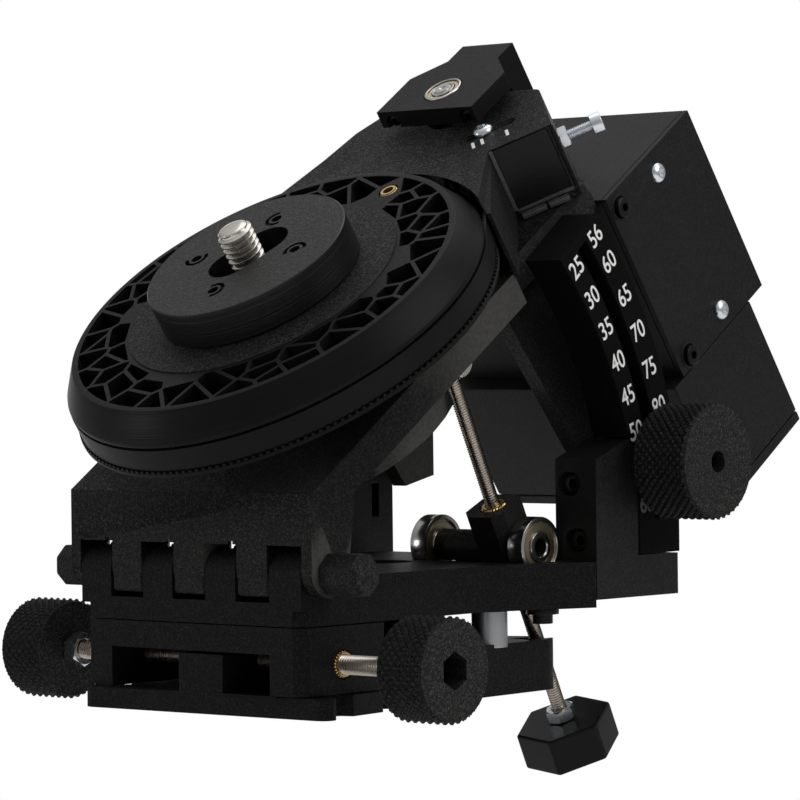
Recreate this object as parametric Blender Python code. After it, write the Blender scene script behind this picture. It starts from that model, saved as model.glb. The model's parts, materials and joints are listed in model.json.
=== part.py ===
"""Alt-azimuth wedge with a belt-driven camera disc, 3-D printed, on a 3/8-16 tripod thread.

World frame: origin in the tripod face, in front of the azimuth axis by AXIS_Y, +Z up, +X along
the hinge to the right-hand side, the hinge edge towards -Y. Every length below is written in
millimetres and turned into metres by MM. "Hinge station" coordinates (x, y, z) start at the middle of the hinge
pin; "plate" coordinates (x, u, v) start there too, with u up along the tilted plate and v square
to it.
"""
import math

import bmesh
import bpy
from mathutils import Matrix, Vector

MM = 0.001
GAP = 0.3                      # air between touching printed pieces
RUN = 0.05                     # radial play of a running shaft

# Driving dimensions ---------------------------------------------------------------------------
AXIS_Y = 18.0                            # azimuth axis, behind the world origin
HINGE_Y, HINGE_Z = -65.0, 38.0           # hinge axis from the azimuth axis and the tripod face
LATITUDE = 55.0                          # degrees, as set; the plate rises by 90 - LATITUDE
PLATE_TILT = math.radians(90.0 - LATITUDE)
AZIMUTH_SET = math.radians(3.0)          # how far the fixed base stands turned under the block

KNUCKLE = 11.1                           # hinge knuckle pitch
KNUCKLES = 7
BASE_HALF = KNUCKLE * KNUCKLES / 2       # half width of the base casting
CHEEK_IN, CHEEK_OUT = 39.2, 42.6         # the tilting frame's outer cheeks
FRONT_Y = -7.5                           # front faces, from the hinge axis
PIN_R = 2.5

SEAT_Z = -13.0                           # hinge plate's underside
PLATE_TOP_Z = -1.0
BLOCK_BOTTOM_Z = -30.3
ARM_TOP_Z = -22.0
FLARE_Y, REAR_Y = 63.0, 92.0             # the hinge plate widens between these
FLARE_HALF = 52.0

LUG_X, LUG_Y, LUG_R = 26.5, 92.2, 8.0    # rounded lug the altitude screw passes through

SCREW_Y, SCREW_Z = 8.0, -23.0            # azimuth screws' axis
TIP_GAP = 0.6                            # screw tip to tongue, so that the tongue can swing
SCREW_LENGTH = {1: 50.0, -1: 53.5}       # from knob face to tip, right and left
SCREW_R = 2.5
TONGUE_HALF = 7.4
TONGUE_X = math.tan(AZIMUTH_SET) * (-HINGE_Y - SCREW_Y)
KNOB_R, KNOB_L = 13.3, 14.5

ARC_IN, ARC_OUT, ARC_SLOT_R = 110.5, 130.5, 119.8
ARC_X0, ARC_X1 = 40.2, 52.2
CLAMP_ANGLE = math.radians(12.0)
PLATE_SCREW = (38.5, 86.0)
BRACKET_SCREWS = ((43.4, 19.4), (45.8, 4.5))
CLAMP_SCREW_R = 2.0
CLAMP_KNOB_R = 15.5

TRUNNION_Y, TRUNNION_Z = 84.0, 3.0       # lower pivot of the altitude screw
ROD_X = 28.0
ROD_LEAN = math.radians(25.5)            # altitude screw from the vertical
ROD_R = 2.0
PIVOT_UP = 54.5                          # from the lower to the upper pivot, along the screw
BEARING_R, BEARING_BORE, BEARING_W = 8.0, 2.5, 5.0

FRAME_BOTTOM, FRAME_TOP = 11.5, 20.7     # plate heights v
HOUSING_TOP = 42.0
DISC_U = 58.0                            # polar axis, from the hinge along the plate
BELT_LOW, BELT_HIGH = 31.6, 38.0
DISC_BELT_R = 57.5                       # belt seat of the disc
BELT_T = 1.1
DRIVE_U = 148.0
DRIVE_BELT_R = 6.0

BOX_HALF = 41.0
SLIDE_ANGLE = math.radians(42.0)         # tensioner direction from +X towards +u
POD_X, POD_U = 26.0, 127.5               # front corner of the motor bay
POD_W, POD_D = 18.4, 24.4

# Shapes ---------------------------------------------------------------------------------------


def arc(cx, cy, r, a0, a1, steps):
    """Points of an arc, angles in degrees."""
    angles = [math.radians(a0 + (a1 - a0) * i / steps) for i in range(steps + 1)]
    return [(cx + r * math.cos(a), cy + r * math.sin(a)) for a in angles]


def mesh_from(bm):
    bmesh.ops.recalc_face_normals(bm, faces=bm.faces)
    mesh = bpy.data.meshes.new("shape")
    bm.to_mesh(mesh)
    bm.free()
    return mesh


AXES = {"X": Matrix(((0, 0, 1), (1, 0, 0), (0, 1, 0))),
        "Y": Matrix(((1, 0, 0), (0, 0, 1), (0, 1, 0))),
        "Z": Matrix.Identity(3)}


def prism(outline, low, high, axis="Z"):
    """An outline extruded from low to high; it lies in YZ, XZ or XY for axis X, Y or Z."""
    bm = bmesh.new()
    turn = AXES[axis]
    ends = []
    for height in (low, high):
        ends.append([bm.verts.new(turn @ Vector((a, b, height)) * MM) for a, b in outline])
    bm.faces.new(ends[0])
    bm.faces.new(ends[1])
    count = len(outline)
    for i in range(count):
        j = (i + 1) % count
        bm.faces.new((ends[0][i], ends[0][j], ends[1][j], ends[1][i]))
    return mesh_from(bm)


def block(x0, x1, y0, y1, z0, z1):
    return prism([(x0, y0), (x1, y0), (x1, y1), (x0, y1)], z0, z1)


def rod(r, low, high, centre=(0, 0), axis="Z", sides=16):
    return prism(arc(centre[0], centre[1], r, 0, 360 - 360 / sides, sides - 1), low, high, axis)


def turned(profile, centre=(0, 0), sides=32, axis="Z"):
    """A closed (radius, height) profile spun about an axis; radius 0 closes on the axis."""
    bm = bmesh.new()
    turn = AXES[axis]
    rings = []
    for r, h in profile:
        if r == 0:
            rings.append([bm.verts.new(turn @ Vector((centre[0], centre[1], h)) * MM)] * sides)
            continue
        rings.append([bm.verts.new(turn @ Vector((centre[0] + x, centre[1] + y, h)) * MM)
                      for x, y in arc(0, 0, r, 0, 360 - 360 / sides, sides - 1)])
    for k, ring in enumerate(rings):
        following = rings[(k + 1) % len(rings)]
        for i in range(sides):
            j = (i + 1) % sides
            corners = []
            for vert in (ring[i], ring[j], following[j], following[i]):
                if vert not in corners:
                    corners.append(vert)
            if len(corners) > 2:
                bm.faces.new(corners)
    return mesh_from(bm)


def along(mesh, start, direction):
    """Moves a mesh built up along Z so that it starts at a point and runs along a direction."""
    turn = Vector(direction).to_track_quat("Z", "Y").to_matrix().to_4x4()
    mesh.transform(Matrix.Translation(Vector(start) * MM) @ turn)
    return mesh


def hexagon(across_flats, turn=0):
    return arc(0, 0, across_flats / math.sqrt(3), turn, turn + 300, 5)


# Materials ------------------------------------------------------------------------------------

FINISHES = {                     # colour, roughness, metallic
    "black_print": ((0.012, 0.012, 0.013), 0.62, 0.0),
    "black_cover": ((0.016, 0.016, 0.017), 0.50, 0.0),
    "belt_rubber": ((0.010, 0.010, 0.010), 0.70, 0.0),
    "black_steel": ((0.015, 0.015, 0.016), 0.38, 0.8),
    "zinc": ((0.62, 0.66, 0.70), 0.28, 1.0),
    "nickel_steel": ((0.60, 0.55, 0.47), 0.30, 1.0),
    "bearing_steel": ((0.66, 0.64, 0.60), 0.22, 1.0),
    "brass": ((0.72, 0.50, 0.20), 0.28, 1.0),
    "aluminium": ((0.58, 0.59, 0.60), 0.42, 1.0),
}


def finish(name):
    material = bpy.data.materials.get(name)
    if material is None:
        colour, roughness, metallic = FINISHES[name]
        material = bpy.data.materials.new(name)
        material.use_nodes = True
        shader = material.node_tree.nodes["Principled BSDF"]
        shader.inputs["Base Color"].default_value = (*colour, 1.0)
        shader.inputs["Roughness"].default_value = roughness
        shader.inputs["Metallic"].default_value = metallic
    return material


# Stations: empties that carry the pieces --------------------------------------------------------


def station(name, place=(0, 0, 0), parent=None, turn=(0, 0, 0)):
    empty = bpy.data.objects.new(name, None)
    empty.location = Vector(place) * MM
    empty.rotation_euler = turn
    empty.parent = parent
    bpy.context.scene.collection.objects.link(empty)
    return empty


def piece(name, material, parent, add, cut=(), origin=(0, 0, 0)):
    """One closed solid: the union of add, less cut, with its origin moved to a point."""
    body = bpy.data.objects.new(name, add[0])
    bpy.context.scene.collection.objects.link(body)
    helpers = []
    steps = [(mesh, "UNION") for mesh in add[1:]] + [(mesh, "DIFFERENCE") for mesh in cut]
    for mesh, operation in steps:
        helper = bpy.data.objects.new("helper", mesh)
        helper.hide_render = True
        helper.display_type = "WIRE"
        bpy.context.scene.collection.objects.link(helper)
        helpers.append(helper)
        modifier = body.modifiers.new("shape", "BOOLEAN")
        modifier.operation = operation
        modifier.solver = "EXACT"
        modifier.object = helper
    if helpers:
        bpy.context.view_layer.update()
        graph = bpy.context.evaluated_depsgraph_get()
        solid = bpy.data.meshes.new_from_object(body.evaluated_get(graph))
        body.modifiers.clear()
        body.data = solid
        for helper in helpers:
            bpy.data.objects.remove(helper)
    body.data.name = name
    body.data.transform(Matrix.Translation(-Vector(origin) * MM))
    body.location = Vector(origin) * MM
    body.data.materials.clear()
    body.data.materials.append(finish(material))
    body.data.shade_smooth()
    body.data.set_sharp_from_angle(angle=math.radians(32))
    body.parent = parent
    return body


def to_plate(y, z):
    """Hinge-station (y, z) as plate coordinates (u, v)."""
    c, s = math.cos(PLATE_TILT), math.sin(PLATE_TILT)
    return (y * c + z * s, -y * s + z * c)


def knuckle_edges(index):
    return -BASE_HALF + KNUCKLE * index, -BASE_HALF + KNUCKLE * (index + 1)


def slide_point(e1, e2):
    """A plate (x, u) point given along and across the tensioner's slide."""
    c, s = math.cos(SLIDE_ANGLE), math.sin(SLIDE_ANGLE)
    return (POD_X + e1 * c - e2 * s, POD_U + e1 * s + e2 * c)


# Fixed base -------------------------------------------------------------------------------------


def build_base(base):
    front = HINGE_Y + FRONT_Y
    side = [(36.0, front + 6.0)] + arc(37.0, front + 11.0, 4.0, 250, 130, 5)
    side += [(37.5, front + 15.0), (36.5, front + 28.0), (26.0, front + 34.5)]
    right = [(38.0, front), *arc(38.0, front + 3.0, 3.0, -60, 60, 4), *side]
    back = arc(0, 0, 27.5, -45, 225, 22)
    left = [(-x, y) for x, y in reversed(right)]
    outline = right + back + left
    body = prism(outline, 2.0, 7.4)
    boss = rod(26.0, 0.0, 3.0, sides=48)
    hub = rod(11.0, 5.0, 13.0, sides=32)
    tongue = block(-TONGUE_HALF, TONGUE_HALF, front, HINGE_Y + 18.0, 5.0, 17.2)
    piece("azimuth_base", "black_print", base, [body, boss, hub, tongue],
          [rod(7.1, -1.0, 7.7, sides=32), rod(9.3, -1.0, 1.9, sides=32),
           rod(4.3, 8.9, 14.0, sides=24)])
    piece("tripod_insert", "nickel_steel", base,
          [turned([(4.1, 0.0), (9.0, 0.0), (9.0, 1.6), (6.8, 1.6), (6.8, 7.4), (4.1, 7.4)],
                  sides=32)])
    piece("azimuth_bolt", "zinc", base, [rod(4.0, 9.2, 35.0, sides=24)])
    piece("azimuth_washer", "zinc", base,
          [turned([(4.3, 25.0), (8.4, 25.0), (8.4, 26.6), (4.3, 26.6)], sides=20)])
    nut = prism(hexagon(13.0), 26.9, 33.4)
    piece("azimuth_lock_nut", "zinc", base, [nut], [rod(4.3, 20.0, 40.0, sides=24)])


# Azimuth block and hinge plate ------------------------------------------------------------------


def build_azimuth_block(hinge):
    half = BASE_HALF
    chamfer = 3.0
    front = [(-half, 23.0), (-half, FRONT_Y + chamfer), (-half + chamfer, FRONT_Y),
             (half - chamfer, FRONT_Y), (half, FRONT_Y + chamfer), (half, 23.0)]
    pivot = (0, -HINGE_Y)
    rear = [(half, 22.0), *arc(LUG_X, LUG_Y, LUG_R, -5, 115, 8), *arc(*pivot, 35.0, 62, 176, 20),
            (-half, 22.0)]
    inner = [(32.4, 31.0), (31.0, 60.0), *arc(*pivot, 30.0, 0, 180, 20), (-31.0, 60.0),
             (-32.4, 31.0)]
    skirt = prism([(37.9, 32.0), *rear[1:-1], (-37.9, 32.0)], -35.5, -29.0)
    posts = [rod(4.5, -23.0, SEAT_Z - GAP, (side * 32.0, 72.0)) for side in (-1, 1)]
    window = 28.0
    windows = block(-window, window, FRONT_Y - 1, 22.0, -40.0, -20.1)
    screws = [rod(3.8, -half - 1, half + 1, (SCREW_Y, SCREW_Z), "X")]
    passage = prism([(86.0, -16.0), (99.0, -16.0), (118.0, -44.0), (96.5, -44.0)],
                    ROD_X - 3.4, ROD_X + 3.4, "X")
    piece("azimuth_block", "black_print", hinge,
          [prism(front, BLOCK_BOTTOM_Z, SEAT_Z - GAP), prism(rear, BLOCK_BOTTOM_Z, ARM_TOP_Z),
           skirt, rod(17.0, -24.0, SEAT_Z - GAP, pivot, sides=32), *posts],
          [windows, passage, prism(inner, -40.0, BLOCK_BOTTOM_Z + 0.01), *screws,
           rod(11.4, -40.0, -24.6, pivot, sides=32), rod(4.05 + RUN, -30, 0, pivot),
           block(-29.2, 29.2, 21.0, 33.0, -40.0, BLOCK_BOTTOM_Z + 0.01)])


def build_hinge_plate(hinge):
    half = BASE_HALF
    chamfer = 3.0
    outline = [(-half, 8.0), (-half, FRONT_Y + chamfer), (-half + chamfer, FRONT_Y),
               (half - chamfer, FRONT_Y), (half, FRONT_Y + chamfer), (half, FLARE_Y),
               (FLARE_HALF, REAR_Y), (37.7, REAR_Y), (37.7, 106.0), (34.0, 108.5),
               (-34.0, 108.5), (-37.7, 106.0), (-37.7, REAR_Y), (-FLARE_HALF, REAR_Y),
               (-half, FLARE_Y)]
    slab = prism(outline, SEAT_Z, PLATE_TOP_Z)
    round_top = [(7.5 * math.cos(a), 6.3 * math.sin(a))
                 for a in [math.radians(180 - 180 * i / 12) for i in range(13)]]
    profile = [(FRONT_Y, -9.0), *round_top, (7.5, -9.0)]
    add, cut = [slab], []
    for index in range(KNUCKLES):
        x0, x1 = knuckle_edges(index)
        if index % 2 == 0:
            low = x0 + (0 if index == 0 else GAP)
            high = x1 - (0 if index == KNUCKLES - 1 else GAP)
            add.append(prism(profile, low, high, "X"))
        else:
            cut.append(block(x0 - GAP, x1 + GAP, FRONT_Y - 1, 8.2, -7.2, 9.0))
    slit = prism([(ROD_X - 8, 78.0), (ROD_X + 8, 78.0), (ROD_X + 8, 110.0), (ROD_X - 8, 110.0)],
                 -20.0, 5.0)
    pocket = block(5.0, 36.0, 77.5, 91.5, -6.5, 5.0)
    seats = [rod(BEARING_R + GAP, x0, x1, (TRUNNION_Y, TRUNNION_Z), "X", 32)
             for x0, x1 in ((0.3, 6.3), (34.5, 40.5))]
    rims = [block(x0, x1, TRUNNION_Y - 8.3, TRUNNION_Y + 8.3, 3.0, 9.0)
            for x0, x1 in ((0.3, 6.3), (34.5, 40.5))]
    piece("hinge_plate", "black_print", hinge, add,
          [*cut, rod(PIN_R + RUN, -60, 60, (0, 0), "X"), rod(9.0, -20, 5, (0, -HINGE_Y), sides=32),
           slit, pocket, *seats, *rims, rod(1.9, -20, -5.9, PLATE_SCREW, sides=16)])


def build_hinge_pin(hinge):
    piece("hinge_pin", "nickel_steel", hinge, [rod(PIN_R, -49.0, 50.0, (0, 0), "X")])
    for name, side, length in (("hinge_cap_left", -1, 9.0), ("hinge_cap_right", 1, 11.5)):
        inner = side * (CHEEK_OUT + GAP)
        outer = inner + side * length
        size = 10.4 / 2 / math.cos(math.radians(22.5))
        tip = outer - side * 1.2
        low, high = sorted((inner, tip))
        body = prism(arc(0, 0, size, 22.5, 337.5, 7), low, high, "X")
        end = turned_end(size, tip, outer)
        piece(name, "black_print", hinge, [body, end],
              [rod(PIN_R + GAP, -49.4, 50.4, (0, 0), "X")])


def turned_end(size, tip, outer):
    """The chamfered end of an octagonal cap, overlapping the prism by a little."""
    bm = bmesh.new()
    side = 1 if outer > tip else -1
    rings = []
    for x, r in ((tip - side * 0.5, size), (tip, size), (outer, size - 1.2)):
        rings.append([bm.verts.new(Vector((x, y, z)) * MM) for y, z in arc(0, 0, r, 22.5, 337.5, 7)])
    bm.faces.new(rings[0])
    bm.faces.new(rings[-1])
    for ring, following in zip(rings, rings[1:]):
        for i in range(8):
            j = (i + 1) % 8
            bm.faces.new((ring[i], ring[j], following[j], following[i]))
    return mesh_from(bm)


def build_brackets(hinge):
    side_top = [(REAR_Y + GAP, 26.0), (106.0, 31.0), (110.0, 31.0)]
    profile = [(REAR_Y + GAP, -11.0), (127.0, -11.0), (127.0, 0.0), (110.0, 0.0),
               *reversed(side_top)]
    heads = [rod(3.2, REAR_Y - 1, REAR_Y + 4.5, (x, z), "Y") for x, z in BRACKET_SCREWS]
    shafts = [rod(1.9, REAR_Y, REAR_Y + 15.0, (x, z), "Y", 16) for x, z in BRACKET_SCREWS]
    piece("clamp_bracket", "black_cover", hinge,
          [prism(profile, 38.2, FLARE_HALF, "X"), block(38.2, 39.9, 105.0, 127.0, -5.0, 22.0)],
          [*heads, *shafts, prism(clamp_slot(2.5, 4.4, 14.6), 30.0, 60.0, "X")])
    for number, (x, z) in enumerate(BRACKET_SCREWS, 1):
        piece("bracket_screw_%d" % number, "black_steel", hinge,
              [rod(2.75, REAR_Y + 1.2, REAR_Y + 4.2, (x, z), "Y"),
               rod(1.5, REAR_Y + 4.0, REAR_Y + 14.5, (x, z), "Y", 16)],
              [prism([(x + px, z + pz) for px, pz in hexagon(2.5)], REAR_Y, REAR_Y + 2.9, "Y")])
    piece("left_upright", "black_cover", hinge,
          [block(-FLARE_HALF, -40.5, REAR_Y + GAP, 115.6, -11.0, 29.0)],
          [block(-46.0, -40.0, 107.0, 109.5, 9.0, 18.0)])


def clamp_slot(half, low, high):
    """The curved slot that the clamp screw travels along, between two angles about the hinge."""
    return (arc(0, 0, ARC_SLOT_R + half, low, high, 18)
            + arc(0, 0, ARC_SLOT_R - half, high, low, 18))


def build_arc(hinge):
    low, high = 0.15, 45.0
    outer = arc(0, 0, ARC_OUT, low, high - 1.0, 26)
    inner = arc(0, 0, ARC_IN, high, low, 26)
    slot = clamp_slot(2.2, 4.7, 43.2)
    foot = block(30.0, 60.0, 100.0, 140.0, -10.0, 0.3)
    front = block(30.0, 60.0, 100.0, 110.3, -10.0, 31.3)
    rear = block(30.0, 60.0, 127.7, 140.0, -10.0, 15.4)
    piece("latitude_arc", "black_cover", hinge, [prism(outer + inner, ARC_X0, ARC_X1, "X")],
          [prism(slot, 30.0, 60.0, "X"), foot, front, rear])


def build_azimuth_screws(hinge):
    for side, word in ((1, "right"), (-1, "left")):
        tip = TONGUE_X + side * (TONGUE_HALF + TIP_GAP)
        face = tip + side * SCREW_LENGTH[side]
        wall = side * BASE_HALF
        place = (SCREW_Y, SCREW_Z)
        piece("azimuth_insert_%s" % word, "brass", hinge,
              [rod(3.5, *sorted((wall - side * 8.0, wall + side * 0.4)), place, "X")],
              [rod(SCREW_R + GAP, -60, 60, place, "X")])
        screw = station("azimuth_screw_axis_%s" % word, (face, *place), hinge)
        piece("azimuth_screw_%s" % word, "nickel_steel", screw,
              [rod(SCREW_R, *sorted((tip - face, side * 8.0)), (0, 0), "X")])
        nut = prism(hexagon(8.0), *sorted((-side * 4.3, -side * GAP)), "X")
        bore = rod(SCREW_R + RUN, -20, 20, (0, 0), "X")
        piece("azimuth_jam_nut_%s" % word, "zinc", screw, [nut], [bore])
        knob = rod(KNOB_R, *sorted((0, side * KNOB_L)), (0, 0), "X", 32)
        recess = prism(hexagon(8.4), *sorted((side * 8.5, side * 20.0)), "X")
        piece("azimuth_knob_%s" % word, "black_print", screw, [knob], [bore, recess])


# Altitude screw ---------------------------------------------------------------------------------


def build_altitude_screw(hinge):
    pivot = (TRUNNION_Y, TRUNNION_Z)
    for word, x0 in (("left", 0.8), ("right", 34.9)):
        piece("trunnion_bearing_%s" % word, "bearing_steel", hinge,
              [rod(BEARING_R, x0, x0 + BEARING_W, pivot, "X", 32)],
              [rod(BEARING_BORE, x0 - 1, x0 + BEARING_W + 1, pivot, "X", 24)])
    # from here on z runs up the screw and x stays along the hinge
    lean = station("altitude_screw_axis", (0, TRUNNION_Y, TRUNNION_Z), hinge, (ROD_LEAN, 0, 0))
    hub = [(ROD_X + x, y) for x, y in ((-6.6, -4), (-4, -6.6), (4, -6.6), (6.6, -4), (6.6, 4),
                                       (4, 6.6), (-4, 6.6), (-6.6, 4))]
    piece("altitude_trunnion", "black_print", lean,
          [prism(hub, -6.0, 12.0), rod(4.2, 6.1, 26.0, (0, 0), "X", 24),
           rod(BEARING_BORE - RUN, 1.0, 39.7, (0, 0), "X", 24)],
          [rod(3.8, 4.0, 13.0, (ROD_X, 0)), rod(ROD_R + 0.3, -10, 14, (ROD_X, 0))])
    piece("trunnion_insert", "brass", lean, [rod(3.5, 4.3, 12.5, (ROD_X, 0))],
          [rod(ROD_R + 0.3, 0, 14, (ROD_X, 0))])
    spin = station("altitude_knob_axis", (ROD_X, 0, 0), lean)
    piece("altitude_screw", "nickel_steel", spin, [rod(ROD_R, -60.0, PIVOT_UP + 3.0)])
    piece("altitude_pivot_barrel", "nickel_steel", spin,
          [rod(4.2, -5.6, 5.6, (0, PIVOT_UP), "X")], [rod(ROD_R + 0.3, 0, 80.0)])
    piece("altitude_lock_nut", "zinc", spin, [prism(hexagon(7.0), -52.3, -49.1)],
          [rod(ROD_R + RUN, -60, -40)])
    piece("altitude_knob", "black_cover", spin, [prism(hexagon(23.4, 10), -63.0, -52.6)],
          [rod(ROD_R + RUN, -70, -40)])


# Tilting frame, in plate coordinates ------------------------------------------------------------


def frame_profile():
    """The frame's nose, seen along the hinge: front face, knuckle round, and underside."""
    nose = [(7.5 * math.cos(a), 6.0 * math.sin(a))
            for a in [math.radians(180 + 90 * i / 6) for i in range(7)]]
    heel = [(6.0 * math.cos(a), 6.0 * math.sin(a))
            for a in [math.radians(270 + 90 * i / 5) for i in range(1, 6)]]
    z_top = (FRAME_TOP + FRONT_Y * math.sin(PLATE_TILT)) / math.cos(PLATE_TILT)
    front = [to_plate(y, z) for y, z in [(FRONT_Y, z_top), *nose, *heel]]
    return front + [(18.5, FRAME_BOTTOM), (30.0, FRAME_BOTTOM), (30.0, FRAME_TOP)]


def build_frame(plate):
    nose = prism(frame_profile(), -CHEEK_OUT, CHEEK_OUT, "X")
    slab = prism([(-CHEEK_OUT, 25.0), (CHEEK_OUT, 25.0), (CHEEK_OUT, 101.0), (37.5, 104.0),
                  (37.5, 145.2), (-37.5, 145.2), (-37.5, 104.0), (-CHEEK_OUT, 101.0)],
                 FRAME_BOTTOM, FRAME_TOP)
    boss = rod(36.0, 1.5, 13.0, (0, DISC_U), sides=40)
    right = [slide_point(0, 0), slide_point(POD_W, 0), slide_point(POD_W, POD_D)]
    left = [(-23.4, right[-1][1]), (-31.0, 141.0), (-33.0, 128.0)]
    back = [(22.0, 158.6), (-22.0, 158.6)]
    mouth = [(44.0, 101.0)]
    low_ring = arc(0, DISC_U, 60.6, 135.2, 44.8, 18)
    walls = prism(low_ring + mouth + right + back + left + [(-44.0, 101.0)],
                  FRAME_TOP - 1.0, 39.5)
    ring = arc(0, DISC_U, 60.6, 129.5, 50.5, 16)
    cover = prism(ring + right + back + left, 39.0, HOUSING_TOP)
    shelf = prism([(-23.0, 140.0), (23.0, 140.0), (23.0, 158.6), (-23.0, 158.6)], 14.4, 22.0)
    leg = [(97.0, 15.0), (128.0, 15.0), *arc(*CLAMP_UV, 8.0, 0, -180, 10)]
    left_leg = [(97.0, 15.0), (128.0, 15.0), (120.4, -42.8), (112.4, -54.3), (101.1, -49.7)]
    legs = [prism(leg, 31.8, 36.6, "X"), prism(left_leg, -36.6, -31.8, "X")]
    cut = []
    for index in range(0, KNUCKLES, 2):
        x0, x1 = knuckle_edges(index)
        x0 -= 0.35 if index == 0 else GAP
        x1 += 0.35 if index == KNUCKLES - 1 else GAP
        notch = [to_plate(y, z) for y, z in ((-12, -12), (-12, 7.1), (12, 7.1), (12, -12))]
        cut.append(prism(notch, x0, x1, "X"))
    cut.append(rod(PIN_R + RUN, -60, 60, (0, 0), "X"))
    cut.append(rod(11.3, 0.0, 9.0, (0, DISC_U), sides=32))
    cut.append(rod(11.3, 13.0, 22.0, (0, DISC_U), sides=32))
    cut.append(rod(8.0, 0.0, 22.0, (0, DISC_U), sides=32))
    cut.append(prism(belt_path(2.0), FRAME_TOP + 0.2, 38.8))
    bay = [slide_point(1.2, 1.4), slide_point(POD_W - 1.2, 1.4), slide_point(POD_W - 1.2, 21.5),
           slide_point(1.2, 21.5)]
    cut.append(prism(bay, FRAME_TOP + 0.2, 39.0))
    cut.append(slot_cutter())
    cut.append(rod(7.5, 36.0, 45.0, (0, DRIVE_U), sides=32))
    cut.append(rod(6.2, 10.0, 22.0, (0, DRIVE_U), sides=32))
    start = slide_point(POD_W - 3.0, 7.0)
    cut.append(along(rod(1.8, 0, 6, sides=16), (*start, 34.0), slide_direction()))
    cut.append(block(ROD_X - 6.6, ROD_X + 6.6, 70.5, 89.5, -5.0, 13.8))
    cut.append(rod(2.3, 30.0, 38.0, CLAMP_UV, "X", 16))
    piece("tilt_frame", "black_print", plate, [nose, slab, boss, walls, cover, shelf, *legs], cut)


CLAMP_UV = to_plate(ARC_SLOT_R * math.cos(CLAMP_ANGLE), ARC_SLOT_R * math.sin(CLAMP_ANGLE))
SLOT_CENTRE = (19.0, 138.6)


def slide_direction():
    return (math.cos(SLIDE_ANGLE), math.sin(SLIDE_ANGLE), 0.0)


def slot_outline(centre, half, radius, angle):
    """A slot with round ends, half being from its centre to an end's centre."""
    degrees = math.degrees(angle)
    cx, cy = half * math.cos(angle), half * math.sin(angle)
    return (arc(centre[0] + cx, centre[1] + cy, radius, degrees - 90, degrees + 90, 8)
            + arc(centre[0] - cx, centre[1] - cy, radius, degrees + 90, degrees + 270, 8))


def slot_cutter():
    return prism(slot_outline(SLOT_CENTRE, 5.8, 1.8, SLIDE_ANGLE), 37.0, 45.0)


def build_boxes(plate):
    half, low, high = BOX_HALF, -44.5, 13.9
    u0, u1 = 145.6, 190.0
    wall = 2.0
    piece("electronics_box", "black_cover", plate, [block(-half, 39.2, u0, u1, low, high)],
          [block(-half + wall, 45.0, u0 + wall, u1 - wall, low + wall, high - wall),
           *[rod(1.7, 30.0, 45.0, place, "X", 12) for place in COVER_SCREWS]])
    cover = prism([(u0, low), (u1, low), (u1, high), (u0, high)], 39.5, half, "X")
    piece("electronics_cover", "black_cover", plate, [cover],
          [rod(1.7, 30.0, 45.0, place, "X", 12) for place in COVER_SCREWS]
          + [rod(3.1, 40.3, 45.0, place, "X") for place in CAP_SCREWS])
    for number, place in enumerate(COVER_SCREWS, 1):
        if place in CAP_SCREWS:
            piece("cover_cap_screw_%d" % number, "black_steel", plate,
                  [rod(2.75, 40.6, 42.6, place, "X"), rod(1.4, 34.0, 41.0, place, "X", 12)],
                  [prism([(place[0] + a, place[1] + b) for a, b in hexagon(2.5)], 41.2, 45.0,
                         "X")])
        else:
            piece("cover_button_screw_%d" % number, "zinc", plate,
                  [turned([(0, 34.0), (1.4, 34.0), (1.4, 41.3), (2.85, 41.3), (2.6, 42.3),
                           (1.7, 42.9), (0, 42.9)], place, 20, "X")],
                  [prism([(place[0] + a, place[1] + b) for a, b in hexagon(2.0)], 41.9, 45.0,
                         "X")])
    low2, high2 = -82.5, low - GAP
    v0, v1 = 140.5, 182.6
    piece("battery_box", "black_cover", plate, [block(-half, half, v0, v1, low2, high2)],
          [block(-half + wall, half - wall, v0 + wall, v1 - wall, low2 - 1, high2 - wall)])
    piece("battery_lid", "black_cover", plate,
          [block(-half, half, v0, v1, low2 - 3.2, low2 - GAP)])


COVER_SCREWS = ((149.8, 8.7), (168.5, 7.5), (151.2, -41.0), (170.0, -39.0))
CAP_SCREWS = (COVER_SCREWS[0], COVER_SCREWS[2])


def build_top_bracket(plate):
    outline = [(-17.0, 138.0), (17.0, 138.0), (17.0, 155.0), (9.0, 163.3), (9.0, 171.0),
               (-9.0, 171.0), (-9.0, 163.3), (-17.0, 155.0)]
    top = prism(outline, 45.0, 50.0)
    leg = block(-9.0, 9.0, 163.3, 171.0, 14.2, 46.0)
    feet = [(-12.5, 46.4), (13.8, 46.8)]
    piece("top_bracket", "black_cover", plate, [top, leg],
          [rod(5.7, 44.0, 51.0, (0, DRIVE_U), sides=32)]
          + [rod(2.3, 137.0, 139.6, place, "Y", 16) for place in feet]
          + [rod(1.3, 137.0, 146.0, place, "Y", 12) for place in feet])
    piece("drive_bearing", "bearing_steel", plate,
          [rod(5.5, 46.2, 50.2, (0, DRIVE_U), sides=32)],
          [rod(BEARING_BORE, 45.0, 52.0, (0, DRIVE_U), sides=24)])


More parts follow.
